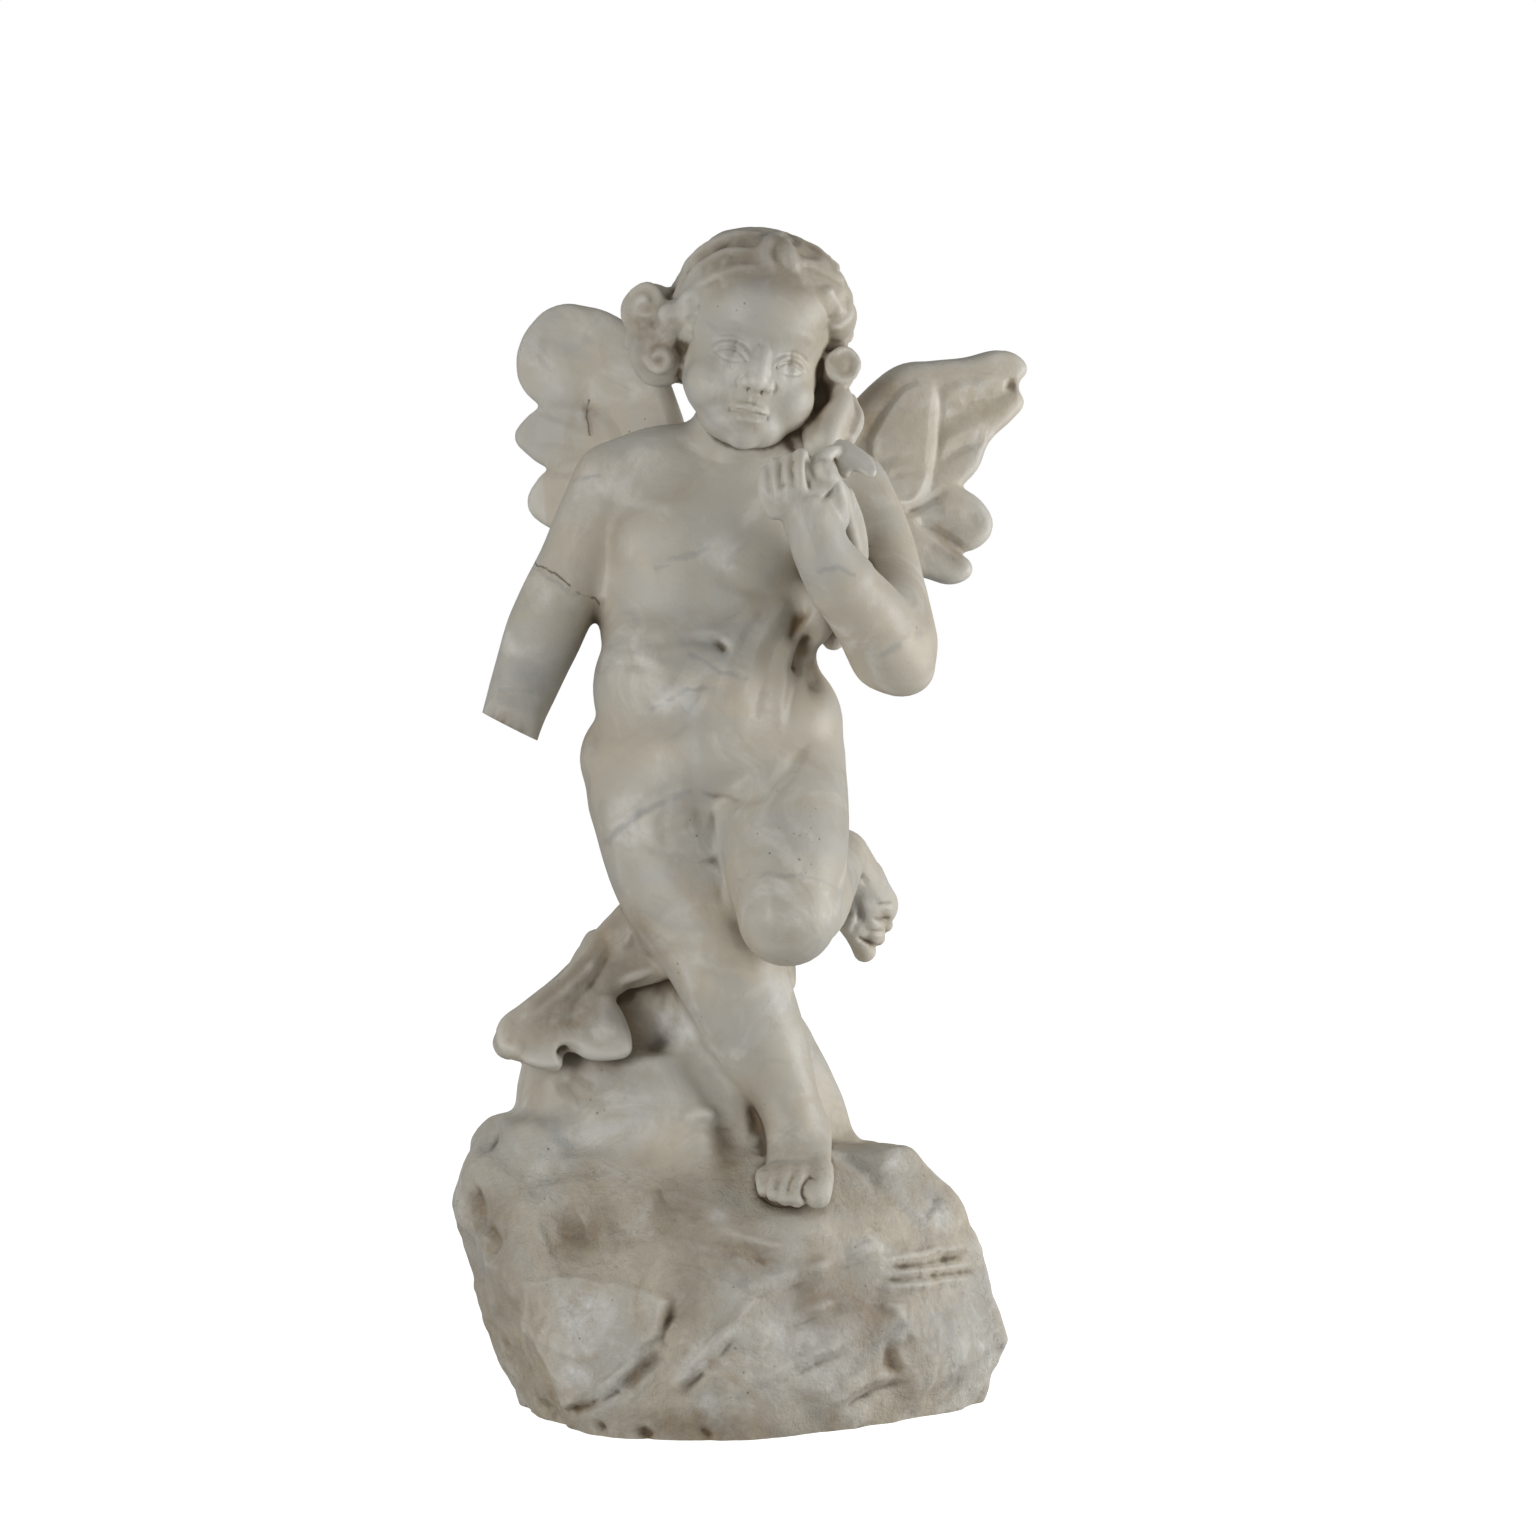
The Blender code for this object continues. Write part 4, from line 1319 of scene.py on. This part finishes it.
def measureHeights(skin):
    # How far each place stands above its own surroundings, near and wide, in millimetres
    smooth = skin.points.copy()
    heights = []
    coarse = 2.2  # the grain that the rounds below are counted for
    nearAndWide = (3, 24)
    for rounds in nearAndWide:
        for _ in range(round(rounds * (coarse / grain["whole"]) ** 2)):
            smooth = smooth + 0.6 * (skin.around(smooth) - smooth)
        heights.append(np.einsum("ij,ij->i", skin.points - smooth, skin.normals))
    tree = KDTree(len(skin.points))
    for index, point in enumerate(skin.points.tolist()):
        tree.insert(point, index)
    tree.balance()
    return heights, tree


# The face, in the head's millimetres, and how high it starts on the statue
facePiece = {
    "spared": 52.0,  # not thinned
    "sparedLow": -84.0,
    "sparedHigh": 36.0,
    "sparedAbove": 690.0,
    "sparedBefore": -20.0,  # on the statue
    "refined": 44.0,  # split into finer triangles
    "refinedLow": -78.0,
    "refinedHigh": 22.0,
    "refinedAbove": 700.0,
    "refinedBefore": -24.0,
}
hollowHeights, hollowTree = measureHeights(detail)
report("measured the hollows")

protect = detail.local(headPlace)
out, up = protect[0].T
facing = (np.abs(out) < facePiece["spared"]) & (up > facePiece["sparedLow"])
facing &= (up < facePiece["sparedHigh"]) & (protect[1] > 0.0)
facing &= detail.points[:, 2] > facePiece["sparedAbove"]
facing &= detail.points[:, 1] < facePiece["sparedBefore"]
group = statue.vertex_groups.new(name="thinned")
group.add(np.flatnonzero(~facing).tolist(), 1.0, "REPLACE")
share = grain["triangles"] / (2.0 * len(statue.data.polygons))
applyModifier(statue, "thinned", "DECIMATE", ratio=share, vertex_group="thinned")
report("thinned to %d faces" % len(statue.data.polygons))

cutterDepth = 60
groundSize = 900
underneath = Matrix.Translation((0, 0, -cutterDepth / 2))
belowGround = cutBox("belowGround", underneath, (groundSize, groundSize, cutterDepth))
breakPlace = Matrix.Translation(breakPiece["at"]) @ turned(y=breakPiece["slant"]) @ underneath
pastBreak = cutBox("pastBreak", breakPlace, (*breakPiece["size"], cutterDepth))
for name, cutter in (("underside", belowGround), ("armBreak", pastBreak)):
    applyModifier(statue, name, "BOOLEAN", operation="DIFFERENCE", object=cutter)
    bpy.data.objects.remove(cutter)
statue.vertex_groups.clear()
report("cut")


def refineFace():
    # Finer triangles for the face's own strokes
    mesh = bmesh.new()
    mesh.from_mesh(statue.data)
    inverse = headPlace.inverted()
    chosen = set()
    for vertex in mesh.verts:
        spot = inverse @ vertex.co
        inside = abs(spot.x) < facePiece["refined"] and spot.y < facePiece["refinedBefore"]
        inside = inside and facePiece["refinedLow"] < spot.z < facePiece["refinedHigh"]
        if inside and vertex.co.z > facePiece["refinedAbove"]:
            chosen.add(vertex)
    edges = [edge for edge in mesh.edges if edge.verts[0] in chosen and edge.verts[1] in chosen]
    bmesh.ops.subdivide_edges(mesh, edges=edges, cuts=1, smooth=0.6)
    bmesh.ops.triangulate(mesh, faces=mesh.faces)
    mesh.to_mesh(statue.data)
    mesh.free()


refineFace()
skin = Skin(statue)
faceMarks = list(faceMiddle)
for depth, width, path in faceHalf:
    faceMarks.append((depth, width, path))
    faceMarks.append((depth, width, [(-x, z) for x, z in path]))
skin.strokes(faceMarks, space=headPlace, taper=0.2)
report("face: %d faces" % len(statue.data.polygons))


# What the marble's colours follow: hollows, painted shade from occlusion, worn edges, stains with painted
# shadows, and bleached places with painted highlights
# A mark is its strength, its width in pixels and its path.

# Dark stains, and painted shadows in shaded hollows, under the cloth's hem, beside the ankle, under the toes
# and on the wing beside the head
stainAndShadowMarks = (
    (0.45, 16, [(505, 1037), (512, 1040)]),
    (0.8, 10, [(620, 994), (626, 1020), (636, 1048)]),
    (0.4, 26, [(594, 944), (616, 944)]),
    (0.4, 28, [(548, 1008), (548, 1036)]),
    (0.4, 24, [(576, 1004), (572, 1032)]),
    (0.9, 9, [(1008, 380), (1016, 390), (1012, 402)]),
    (0.45, 30, [(852, 444), (872, 400), (902, 368)]),
    (0.5, 14, [(588, 402), (590, 434)]),
    (0.5, 14, [(540, 350), (552, 372)]),
    (0.6, 12, [(655, 340), (664, 372)]),
    (0.5, 14, [(804, 608), (794, 634)]),
    (0.5, 12, [(810, 638), (796, 668)]),
    (0.5, 12, [(810, 658), (816, 690)]),
    (0.75, 16, [(662, 1352), (644, 1370), (622, 1392)]),
    (0.6, 10, [(600, 1400), (572, 1412)]),
    (0.6, 34, [(556, 1238), (600, 1228)]),
    (0.3, 22, [(727, 1140), (730, 1176)]),
    (0.6, 14, [(900, 1246), (912, 1244)]),
    (0.5, 12, [(688, 1222), (692, 1236)]),
    (0.5, 12, [(656, 1190), (664, 1194)]),
    (0.7, 16, [(890, 1346), (894, 1376)]),
    (0.5, 30, [(470, 1190), (500, 1250)]),
    (0.5, 26, [(500, 1330), (560, 1420)]),
    (0.5, 30, [(640, 1424), (760, 1430)]),
    (0.5, 16, [(566, 1072), (600, 1092)]),
    (0.7, 10, [(488, 712), (508, 728), (530, 735)]),
    (0.5, 8, [(612, 514), (622, 518)]),
    (0.7, 12, [(866, 938), (876, 944)]),
    (0.6, 10, [(882, 926), (886, 914)]),
    (0.5, 12, [(850, 866), (866, 878)]),
    (0.35, 14, [(750, 1088), (758, 1112), (759, 1140)]),
    (0.5, 10, [(760, 1196), (800, 1206)]),
    (0.4, 22, [(936, 520), (968, 566)]),
    (0.35, 30, [(800, 1290), (900, 1320)]),
    (0.35, 26, [(700, 1250), (790, 1262)]),
)

# Bleached places, and painted highlights on the lit rock facets and bumps, the chest and belly, the wing's
# coverts and the shin's right edge
paleMarks = (
    (0.9, 52, [(560, 1300), (610, 1330)]),
    (0.8, 30, [(560, 1370), (590, 1380)]),
    (0.9, 22, [(712, 1210), (724, 1214)]),
    (1.0, 22, [(893, 1150), (899, 1160)]),
    (1.0, 34, [(926, 1206), (944, 1226)]),
    (0.9, 24, [(856, 1236), (870, 1246)]),
    (0.7, 26, [(560, 1140), (680, 1120)]),
    (0.6, 34, [(600, 1160), (640, 1190)]),
    (0.8, 24, [(712, 1340), (680, 1380)]),
    (0.6, 40, [(760, 1330), (860, 1330)]),
    (0.7, 16, [(700, 1392), (712, 1410)]),
    (0.8, 22, [(900, 396), (912, 450)]),
    (0.7, 18, [(896, 482), (914, 494)]),
    (0.7, 26, [(724, 548), (730, 560)]),
    (0.7, 30, [(700, 700), (650, 700)]),
    (0.7, 24, [(770, 690), (750, 730)]),
    (0.8, 34, [(616, 800), (640, 850)]),
    (0.6, 20, [(800, 1030), (806, 1060)]),
    (0.6, 26, [(575, 480), (566, 520)]),
    (0.5, 30, [(540, 350), (560, 400)]),
    (0.7, 14, [(606, 1020), (622, 1046)]),
    (0.8, 34, [(656, 1000), (682, 1042)]),
)

# Brown soiling in broad washes, and painted shadows in the cavity under the cloth, beside the ankle, among
# the toes and on the wing's shaded edge
soilAndShadowMarks = (
    (1.0, 60, [(650, 920), (600, 975), (540, 1030)]),
    (0.5, 30, [(600, 1030), (630, 1045)]),
    (0.9, 18, [(620, 996), (632, 1024), (644, 1048)]),
    (1.0, 66, [(690, 262), (760, 246), (830, 276)]),
    (1.0, 42, [(648, 300), (655, 340), (664, 372)]),
    (1.0, 42, [(838, 310), (846, 350), (836, 380)]),
    (0.7, 24, [(812, 404), (826, 430)]),
    (0.5, 30, [(720, 272), (780, 276), (820, 300)]),
    (0.9, 50, [(556, 1238), (620, 1222)]),
    (0.7, 30, [(724, 1124), (730, 1180)]),
    (0.7, 50, [(660, 1180), (700, 1240), (780, 1262)]),
    (0.7, 70, [(780, 1290), (900, 1320)]),
    (0.6, 40, [(700, 1270), (680, 1330)]),
    (0.6, 46, [(480, 1180), (500, 1260), (510, 1330)]),
    (0.6, 40, [(560, 1420), (700, 1436), (860, 1420)]),
    (0.5, 40, [(566, 1072), (612, 1096)]),
    (0.5, 26, [(748, 1080), (762, 1140)]),
    (0.6, 34, [(866, 430), (880, 380)]),
    (0.5, 40, [(940, 520), (970, 566)]),
    (0.5, 26, [(806, 612), (812, 680)]),
    (0.4, 40, [(780, 590), (750, 620)]),
    (0.4, 30, [(618, 510), (604, 570)]),
    (0.6, 22, [(500, 712), (524, 730)]),
    (0.4, 30, [(868, 930), (880, 900)]),
)


# The height in millimetres at which a hollow or a worn edge counts in full, and its part, near and wide
heightReadings = {"hollow": ((-0.5, 0.5), (-2.2, 0.6)), "worn": ((0.45, 0.4), (2.4, 0.7))}


def strongest(skin, places, weight, marks):
    # The strongest of the marks at each vertex
    values = np.zeros(len(skin.points))
    for strength, width, path in marks:
        near, amount = skin.bell(places, weight, width, path)
        values[near] = np.maximum(values[near], strength * amount)
    return values


def measureMarble(skin):
    count = len(skin.points)
    values = {}
    fine = np.empty(count)
    broad = np.empty(count)
    for index, point in enumerate(skin.points.tolist()):
        source = hollowTree.find(point)[1]
        fine[index], broad[index] = hollowHeights[0][source], hollowHeights[1][source]
    for name, ((fineFull, finePart), (broadFull, broadPart)) in heightReadings.items():
        near = np.clip(fine / fineFull, 0.0, 1.0) * finePart
        values[name] = near + np.clip(broad / broadFull, 0.0, 1.0) * broadPart

    # Painted shade: rays from each vertex measure how much of the surroundings is blocked, and the colour is
    # darkened there
    tree = treeOf(skin)
    rays = 14
    reach = 110.0
    clearance = 1.2
    goldenAngle = 2.39996
    spiral = []
    for number in range(rays):
        rise = math.sqrt(1.0 - (number + 0.5) / rays)
        bearing = number * goldenAngle
        out = math.sqrt(1.0 - rise * rise)
        spiral.append((out * math.cos(bearing), out * math.sin(bearing), rise))
    covered = np.zeros(count)
    for index in range(count):
        normal = Vector(skin.normals[index])
        start = Vector(skin.points[index]) + normal * clearance
        side = normal.orthogonal().normalized()
        other = normal.cross(side)
        total = 0.0
        for a, b, c in spiral:
            distance = tree.ray_cast(start, side * a + other * b + normal * c, reach)[3]
            if distance is not None:
                total += 1.0 - distance / reach
        covered[index] = total / rays
    values["shade"] = covered

    places, weight = skin.seen()
    values["stainAndShadow"] = strongest(skin, places, weight, stainAndShadowMarks)
    values["pale"] = strongest(skin, places, weight, paleMarks)
    values["soilAndShadow"] = strongest(skin, places, weight, soilAndShadowMarks)
    for name in ("hollow", "pale", "shade", "soilAndShadow", "stainAndShadow", "worn"):
        spread = values[name][:, None]
        for _ in range(2):
            spread = 0.5 * spread + 0.5 * skin.around(spread)
        attribute = skin.obj.data.attributes.new(name, "FLOAT", "POINT")
        attribute.data.foreach_set("value", spread[:, 0].astype(np.float32))


measureMarble(skin)
report("measured for the marble")

statue.data.transform(Matrix.Scale(0.001, 4))
bpy.ops.object.select_all(action="DESELECT")
bpy.context.view_layer.objects.active = statue
statue.select_set(True)
bpy.ops.object.shade_smooth_by_angle(angle=math.radians(60.0))


# Marble

marblePiece = {
    "ivory": (0.57, 0.515, 0.410),
    "grey": (0.53, 0.51, 0.455),
    "white": (0.77, 0.745, 0.68),
    "pale": (0.80, 0.79, 0.76),
    "tan": (0.42, 0.335, 0.235),
    # Brown for soil washes and for painted occlusion shade
    "brown": (0.27, 0.215, 0.150),
    # Dark dirt colour, also used for painted shade in hollows and painted shadows
    "dirtAndShade": (0.10, 0.070, 0.036),
    "vein": (0.26, 0.27, 0.28),
    "crack": (0.09, 0.07, 0.05),
    "rust": (0.42, 0.27, 0.12),
    "rockTop": 0.200,  # height at which the rough rock gives way to the smooth figure
}
# Cracks and dark veins as the photograph shows them: kind, half width in pixels, depth of the surface, path
lineMarks = (
    ("crack", 1.1, -10, [(532, 561), (556, 575), (578, 592), (601, 604)]),
    ("vein", 1.3, -10, [(540, 571), (566, 590), (584, 598)]),
    ("crack", 1.2, 70, [(588, 399), (586, 416), (590, 436)]),
    ("vein", 1.8, -50, [(655, 567), (680, 558), (706, 549)]),
    ("vein", 1.4, -10, [(574, 481), (600, 477)]),
    ("vein", 1.5, -60, [(690, 655), (720, 672), (748, 680)]),
    ("vein", 1.4, -90, [(818, 572), (838, 570), (852, 576)]),
    ("vein", 2.0, -60, [(882, 655), (904, 645), (918, 634)]),
    ("vein", 2.0, -50, [(606, 842), (640, 812), (690, 792)]),
    ("vein", 1.2, -60, [(668, 700), (690, 688), (716, 690)]),
    ("vein", 1.2, -40, [(640, 720), (662, 706)]),
    ("vein", 1.4, -100, [(740, 880), (770, 872), (800, 876)]),
    ("vein", 1.2, 0, [(505, 690), (520, 694), (536, 692)]),
)


def makeMarble():
    material = bpy.data.materials.new("agedMarble")
    material.use_nodes = True
    tree = material.node_tree
    shader = tree.nodes["Principled BSDF"]

    def node(kind, inputs=None, **settings):
        made = tree.nodes.new(kind)
        for name, value in settings.items():
            setattr(made, name, value)
        for name, value in (inputs or {}).items():
            if isinstance(value, bpy.types.NodeSocket):
                tree.links.new(value, made.inputs[name])
            else:
                made.inputs[name].default_value = value
        return made

    def maths(operation, a, b=0.0, clamp=False):
        return node("ShaderNodeMath", {0: a, 1: b}, operation=operation, use_clamp=clamp).outputs[0]

    def times(a, b):
        return maths("MULTIPLY", a, b)

    def plus(a, b):
        return maths("ADD", a, b)

    def vectors(operation, a, b):
        return node("ShaderNodeVectorMath", {0: a, 1: b}, operation=operation).outputs

    def scaled(vector, scale):
        return node("ShaderNodeVectorMath", {0: vector, "Scale": scale}, operation="SCALE").outputs[0]

    def between(value, low, high):
        ends = {"Value": value, "From Min": low, "From Max": high}
        return node("ShaderNodeMapRange", ends, interpolation_type="SMOOTHSTEP").outputs[0]

    def mixed(factor, a, b):
        made = node("ShaderNodeMix", {0: factor}, data_type="RGBA")
        for number, value in ((6, a), (7, b)):
            if isinstance(value, bpy.types.NodeSocket):
                tree.links.new(value, made.inputs[number])
            else:
                made.inputs[number].default_value = (*value, 1.0)
        return made.outputs[2]

    coordinates = node("ShaderNodeTexCoord").outputs["Object"]

    def grainAt(scale, detail=4.0, rough=0.55, distortion=0.0, where=None):
        inputs = {"Vector": where or coordinates, "Scale": scale, "Detail": detail}
        inputs.update({"Roughness": rough, "Distortion": distortion})
        return node("ShaderNodeTexNoise", inputs).outputs["Fac"]

    def attribute(name):
        return node("ShaderNodeAttribute", attribute_name=name).outputs["Fac"]

    hollow, pale, shade, soilAndShadow, stainAndShadow, worn = (
        attribute(name) for name in ("hollow", "pale", "shade", "soilAndShadow", "stainAndShadow", "worn")
    )
    height = node("ShaderNodeSeparateXYZ", {0: coordinates}).outputs
    waver = times(maths("SUBTRACT", grainAt(9.0), 0.5), 0.10)
    rocky = between(plus(height[2], waver), marblePiece["rockTop"] + 0.02, marblePiece["rockTop"] - 0.03)

    # Clouds of ivory, grey and white
    greys = between(grainAt(8.0, 5.0, 0.6, 0.6), 0.40, 0.62)
    colour = mixed(greys, marblePiece["ivory"], marblePiece["grey"])
    whites = times(between(grainAt(17.0, 6.0, 0.62, 0.8), 0.50, 0.74), 0.75)
    colour = mixed(whites, colour, marblePiece["white"])
    tan = times(between(grainAt(12.0, 7.0, 0.66, 1.2), 0.50, 0.78), 0.55)
    colour = mixed(tan, colour, marblePiece["tan"])

    # Bleached patches and painted highlights, lighter where the pale marks lie
    bleachAndHighlight = times(between(pale, 0.05, 0.8), between(grainAt(30.0, 8.0, 0.72, 0.5), 0.36, 0.60))
    colour = mixed(times(bleachAndHighlight, 0.65), colour, marblePiece["pale"])

    # Grey veins that climb to the right
    lean = (0.3, math.radians(-34.0), 0.2)
    leaning = node("ShaderNodeMapping", {"Vector": coordinates, "Rotation": lean}).outputs[0]
    stretched = node("ShaderNodeMapping", {"Vector": leaning, "Scale": (0.35, 1.0, 1.25)}).outputs[0]
    for scale, sharp, strength in ((7.0, 0.034, 0.34), (15.0, 0.030, 0.22)):
        ridge = maths("ABSOLUTE", maths("SUBTRACT", grainAt(scale, 3.0, 0.5, 0.6, stretched), 0.5))
        line = between(ridge, sharp, 0.0)
        patches = between(grainAt(scale * 0.9, 2.0, 0.5), 0.50, 0.70)
        colour = mixed(times(times(line, patches), strength), colour, marblePiece["vein"])
    streaks = between(grainAt(30.0, 6.0, 0.7, 0.6, stretched), 0.52, 0.80)
    colour = mixed(times(streaks, 0.28), colour, marblePiece["vein"])

    # Dirt on the rock, painted shade where the surface is occluded, darker hollows, and stains with painted
    # shadows
    grime = grainAt(38.0, 8.0, 0.72, 0.5)
    rockDirt = times(between(grainAt(21.0, 8.0, 0.70, 1.0), 0.44, 0.72), rocky)
    colour = mixed(times(rockDirt, 0.62), colour, marblePiece["tan"])
    rockGrime = times(between(grainAt(70.0, 8.0, 0.75, 0.4), 0.56, 0.80), plus(times(rocky, 0.55), 0.08))
    colour = mixed(rockGrime, colour, marblePiece["dirtAndShade"])
    speckle = node("ShaderNodeTexVoronoi", {"Vector": coordinates, "Scale": 120.0, "Randomness": 1.0})
    spots = times(between(speckle.outputs["Distance"], 0.16, 0.06), between(grainAt(16.0, 3.0), 0.56, 0.66))
    colour = mixed(times(spots, 0.6), colour, marblePiece["dirtAndShade"])
    # Brown soil washes, and painted shadows from the soil marks
    wash = times(between(soilAndShadow, 0.02, 0.9), between(grainAt(34.0, 8.0, 0.72, 0.6), 0.15, 0.60))
    colour = mixed(times(wash, 0.70), colour, marblePiece["brown"])
    # Painted shade: brown where the occlusion rays found the surface covered
    occlusionShade = between(shade, 0.20, 0.62)
    colour = mixed(times(occlusionShade, 0.62), colour, marblePiece["brown"])
    # Darker in hollows, plus painted occlusion shade, towards the dark dirt colour
    hollowsAndPaintedShade = plus(times(hollow, 1.15), times(occlusionShade, 0.55))
    hollowsAndPaintedShade = between(plus(hollowsAndPaintedShade, times(grime, 0.4)), 0.55, 1.35)
    colour = mixed(times(hollowsAndPaintedShade, 0.85), colour, marblePiece["dirtAndShade"])
    # Stains and painted shadows from the marks, towards the dark dirt colour
    blotch = between(plus(stainAndShadow, times(grime, 0.8)), 0.55, 1.30)
    colour = mixed(times(blotch, 0.8), colour, marblePiece["dirtAndShade"])
    rim = times(between(stainAndShadow, 0.02, 0.4), between(grime, 0.40, 0.66))
    colour = mixed(times(rim, 0.30), colour, marblePiece["rust"])
    colour = mixed(times(between(worn, 0.10, 0.90), 0.42), colour, marblePiece["white"])

    # Cracks and drawn veins, as distances to short lines on the front
    wobble = node("ShaderNodeTexNoise", {"Vector": coordinates, "Scale": 90.0, "Detail": 4.0})
    wobble = vectors("SUBTRACT", wobble.outputs["Color"], (0.5, 0.5, 0.5))[0]
    wobble = scaled(wobble, 0.009)
    wandering = vectors("ADD", coordinates, wobble)[0]
    flat = vectors("MULTIPLY", wandering, (1.0, 0.0, 1.0))[0]
    normalY = node("ShaderNodeSeparateXYZ", {0: node("ShaderNodeNewGeometry").outputs["Normal"]}).outputs[1]
    front = between(normalY, 0.1, -0.15)
    for kind, width, depth, path in lineMarks:
        spots3d = [Vector(onPlane(spot, (depth, 0.0, 0.0))) * 0.001 for spot in path]
        nearest = None
        for a, b in zip(spots3d[:-1], spots3d[1:]):
            a, b = Vector((a.x, 0.0, a.z)), Vector((b.x, 0.0, b.z))
            side = b - a
            offset = vectors("SUBTRACT", flat, tuple(a))[0]
            along = vectors("DOT_PRODUCT", offset, tuple(side / side.length_squared))["Value"]
            share = maths("MAXIMUM", maths("MINIMUM", along, 1.0), 0.0)
            step = scaled(tuple(side), share)
            gap = vectors("SUBTRACT", offset, step)[0]
            gap = node("ShaderNodeVectorMath", {0: gap}, operation="LENGTH").outputs["Value"]
            nearest = gap if nearest is None else maths("MINIMUM", nearest, gap)
        half = width * (0.00075 if kind == "crack" else 0.0013)
        line = between(nearest, half * 1.8, half * 0.1)
        near = between(maths("ABSOLUTE", maths("SUBTRACT", height[1], depth * 0.001)), 0.06, 0.04)
        line = times(times(line, front), near)
        strength = 0.80 if kind == "crack" else 0.34
        broken = times(line, between(grainAt(55.0, 3.0), 0.34, 0.5))
        colour = mixed(times(broken, strength), colour, marblePiece[kind])

    tree.links.new(colour, shader.inputs["Base Color"])

    # Dull in hollows, where shaded and on the rock, a soft polish elsewhere
    gloss = plus(0.40, times(grainAt(26.0, 4.0), 0.12))
    gloss = plus(gloss, times(rocky, 0.16))
    gloss = maths("ADD", gloss, times(hollowsAndPaintedShade, 0.25), clamp=True)
    tree.links.new(gloss, shader.inputs["Roughness"])

    # Crystal grain all over, pits and tool marks on the rock
    grainy = times(grainAt(420.0, 3.0), 0.10)
    pits = times(between(grainAt(95.0, 6.0, 0.7), 0.35, 0.62), plus(times(rocky, 0.55), 0.12))
    chisel = times(grainAt(60.0, 6.0, 0.65, 0.5, stretched), plus(times(rocky, 0.9), 0.16))
    surface = plus(plus(grainy, pits), chisel)
    bump = node("ShaderNodeBump", {"Strength": 0.6, "Distance": 0.0018, "Height": surface})
    tree.links.new(bump.outputs["Normal"], shader.inputs["Normal"])
    return material


statue.data.materials.clear()
statue.data.materials.append(makeMarble())

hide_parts("angel_statue")
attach(statue, "root")
report("material")


# Floor, lights and camera

studio = {
    "ambient": 0.28,
    "floorGlow": 0.92,
    "lights": (
        # name, place, what it points at, size, power
        ("leftLight", (-1.6, -1.9, 0.5), (0.0, 0.0, 0.46), (0.8, 1.2), 25.0),
        ("rightLight", (2.2, -0.2, 0.6), (0.0, 0.0, 0.46), (0.8, 1.2), 33.0),
    ),
}


def seenByCamera(tree):
    return tree.nodes.new("ShaderNodeLightPath").outputs["Is Camera Ray"]


def makeStage():
    bpy.ops.mesh.primitive_plane_add(size=30.0)
    floor = bpy.context.object
    floor.name = "floor"
    paper = bpy.data.materials.new("floorPaper")
    paper.use_nodes = True
    shader = paper.node_tree.nodes["Principled BSDF"]
    shader.inputs["Base Color"].default_value = (0.60, 0.60, 0.60, 1.0)
    shader.inputs["Roughness"].default_value = 0.9
    shader.inputs["Emission Color"].default_value = (1.0, 1.0, 1.0, 1.0)
    glow = paper.node_tree.nodes.new("ShaderNodeMath")
    glow.operation = "MULTIPLY"
    glow.inputs[1].default_value = studio["floorGlow"]
    paper.node_tree.links.new(seenByCamera(paper.node_tree), glow.inputs[0])
    paper.node_tree.links.new(glow.outputs[0], shader.inputs["Emission Strength"])
    floor.data.materials.append(paper)

    world = bpy.context.scene.world or bpy.data.worlds.new("studio")
    bpy.context.scene.world = world
    world.use_nodes = True
    background = world.node_tree.nodes["Background"]
    background.inputs["Color"].default_value = (1.0, 1.0, 1.0, 1.0)
    strength = world.node_tree.nodes.new("ShaderNodeMapRange")
    strength.inputs["To Min"].default_value = studio["ambient"]
    strength.inputs["To Max"].default_value = 1.0
    world.node_tree.links.new(seenByCamera(world.node_tree), strength.inputs["Value"])
    world.node_tree.links.new(strength.outputs[0], background.inputs["Strength"])

    for name, spot, target, size, power in studio["lights"]:
        lamp = bpy.data.lights.new(name, "AREA")
        lamp.shape = "RECTANGLE"
        lamp.size, lamp.size_y = size
        lamp.energy = power
        light = meshObject(name, lamp)
        light.location = spot
        light.rotation_euler = (Vector(target) - Vector(spot)).to_track_quat("-Z", "Y").to_euler()
    bpy.context.scene.view_settings.view_transform = "Standard"


def makeCamera():
    lens = bpy.data.cameras.new("photoCamera")
    lens.sensor_width = photoCamera["sensor"]
    lens.lens = photoCamera["sensor"] * photoCamera["focal"] / photoCamera["pixels"]
    camera = meshObject("photoCamera", lens)
    camera.location = [photoCamera[axis] / 1000.0 for axis in "xyz"]
    camera.rotation_euler = (math.pi / 2.0, 0.0, 0.0)
    bpy.context.scene.camera = camera


makeStage()
makeCamera()
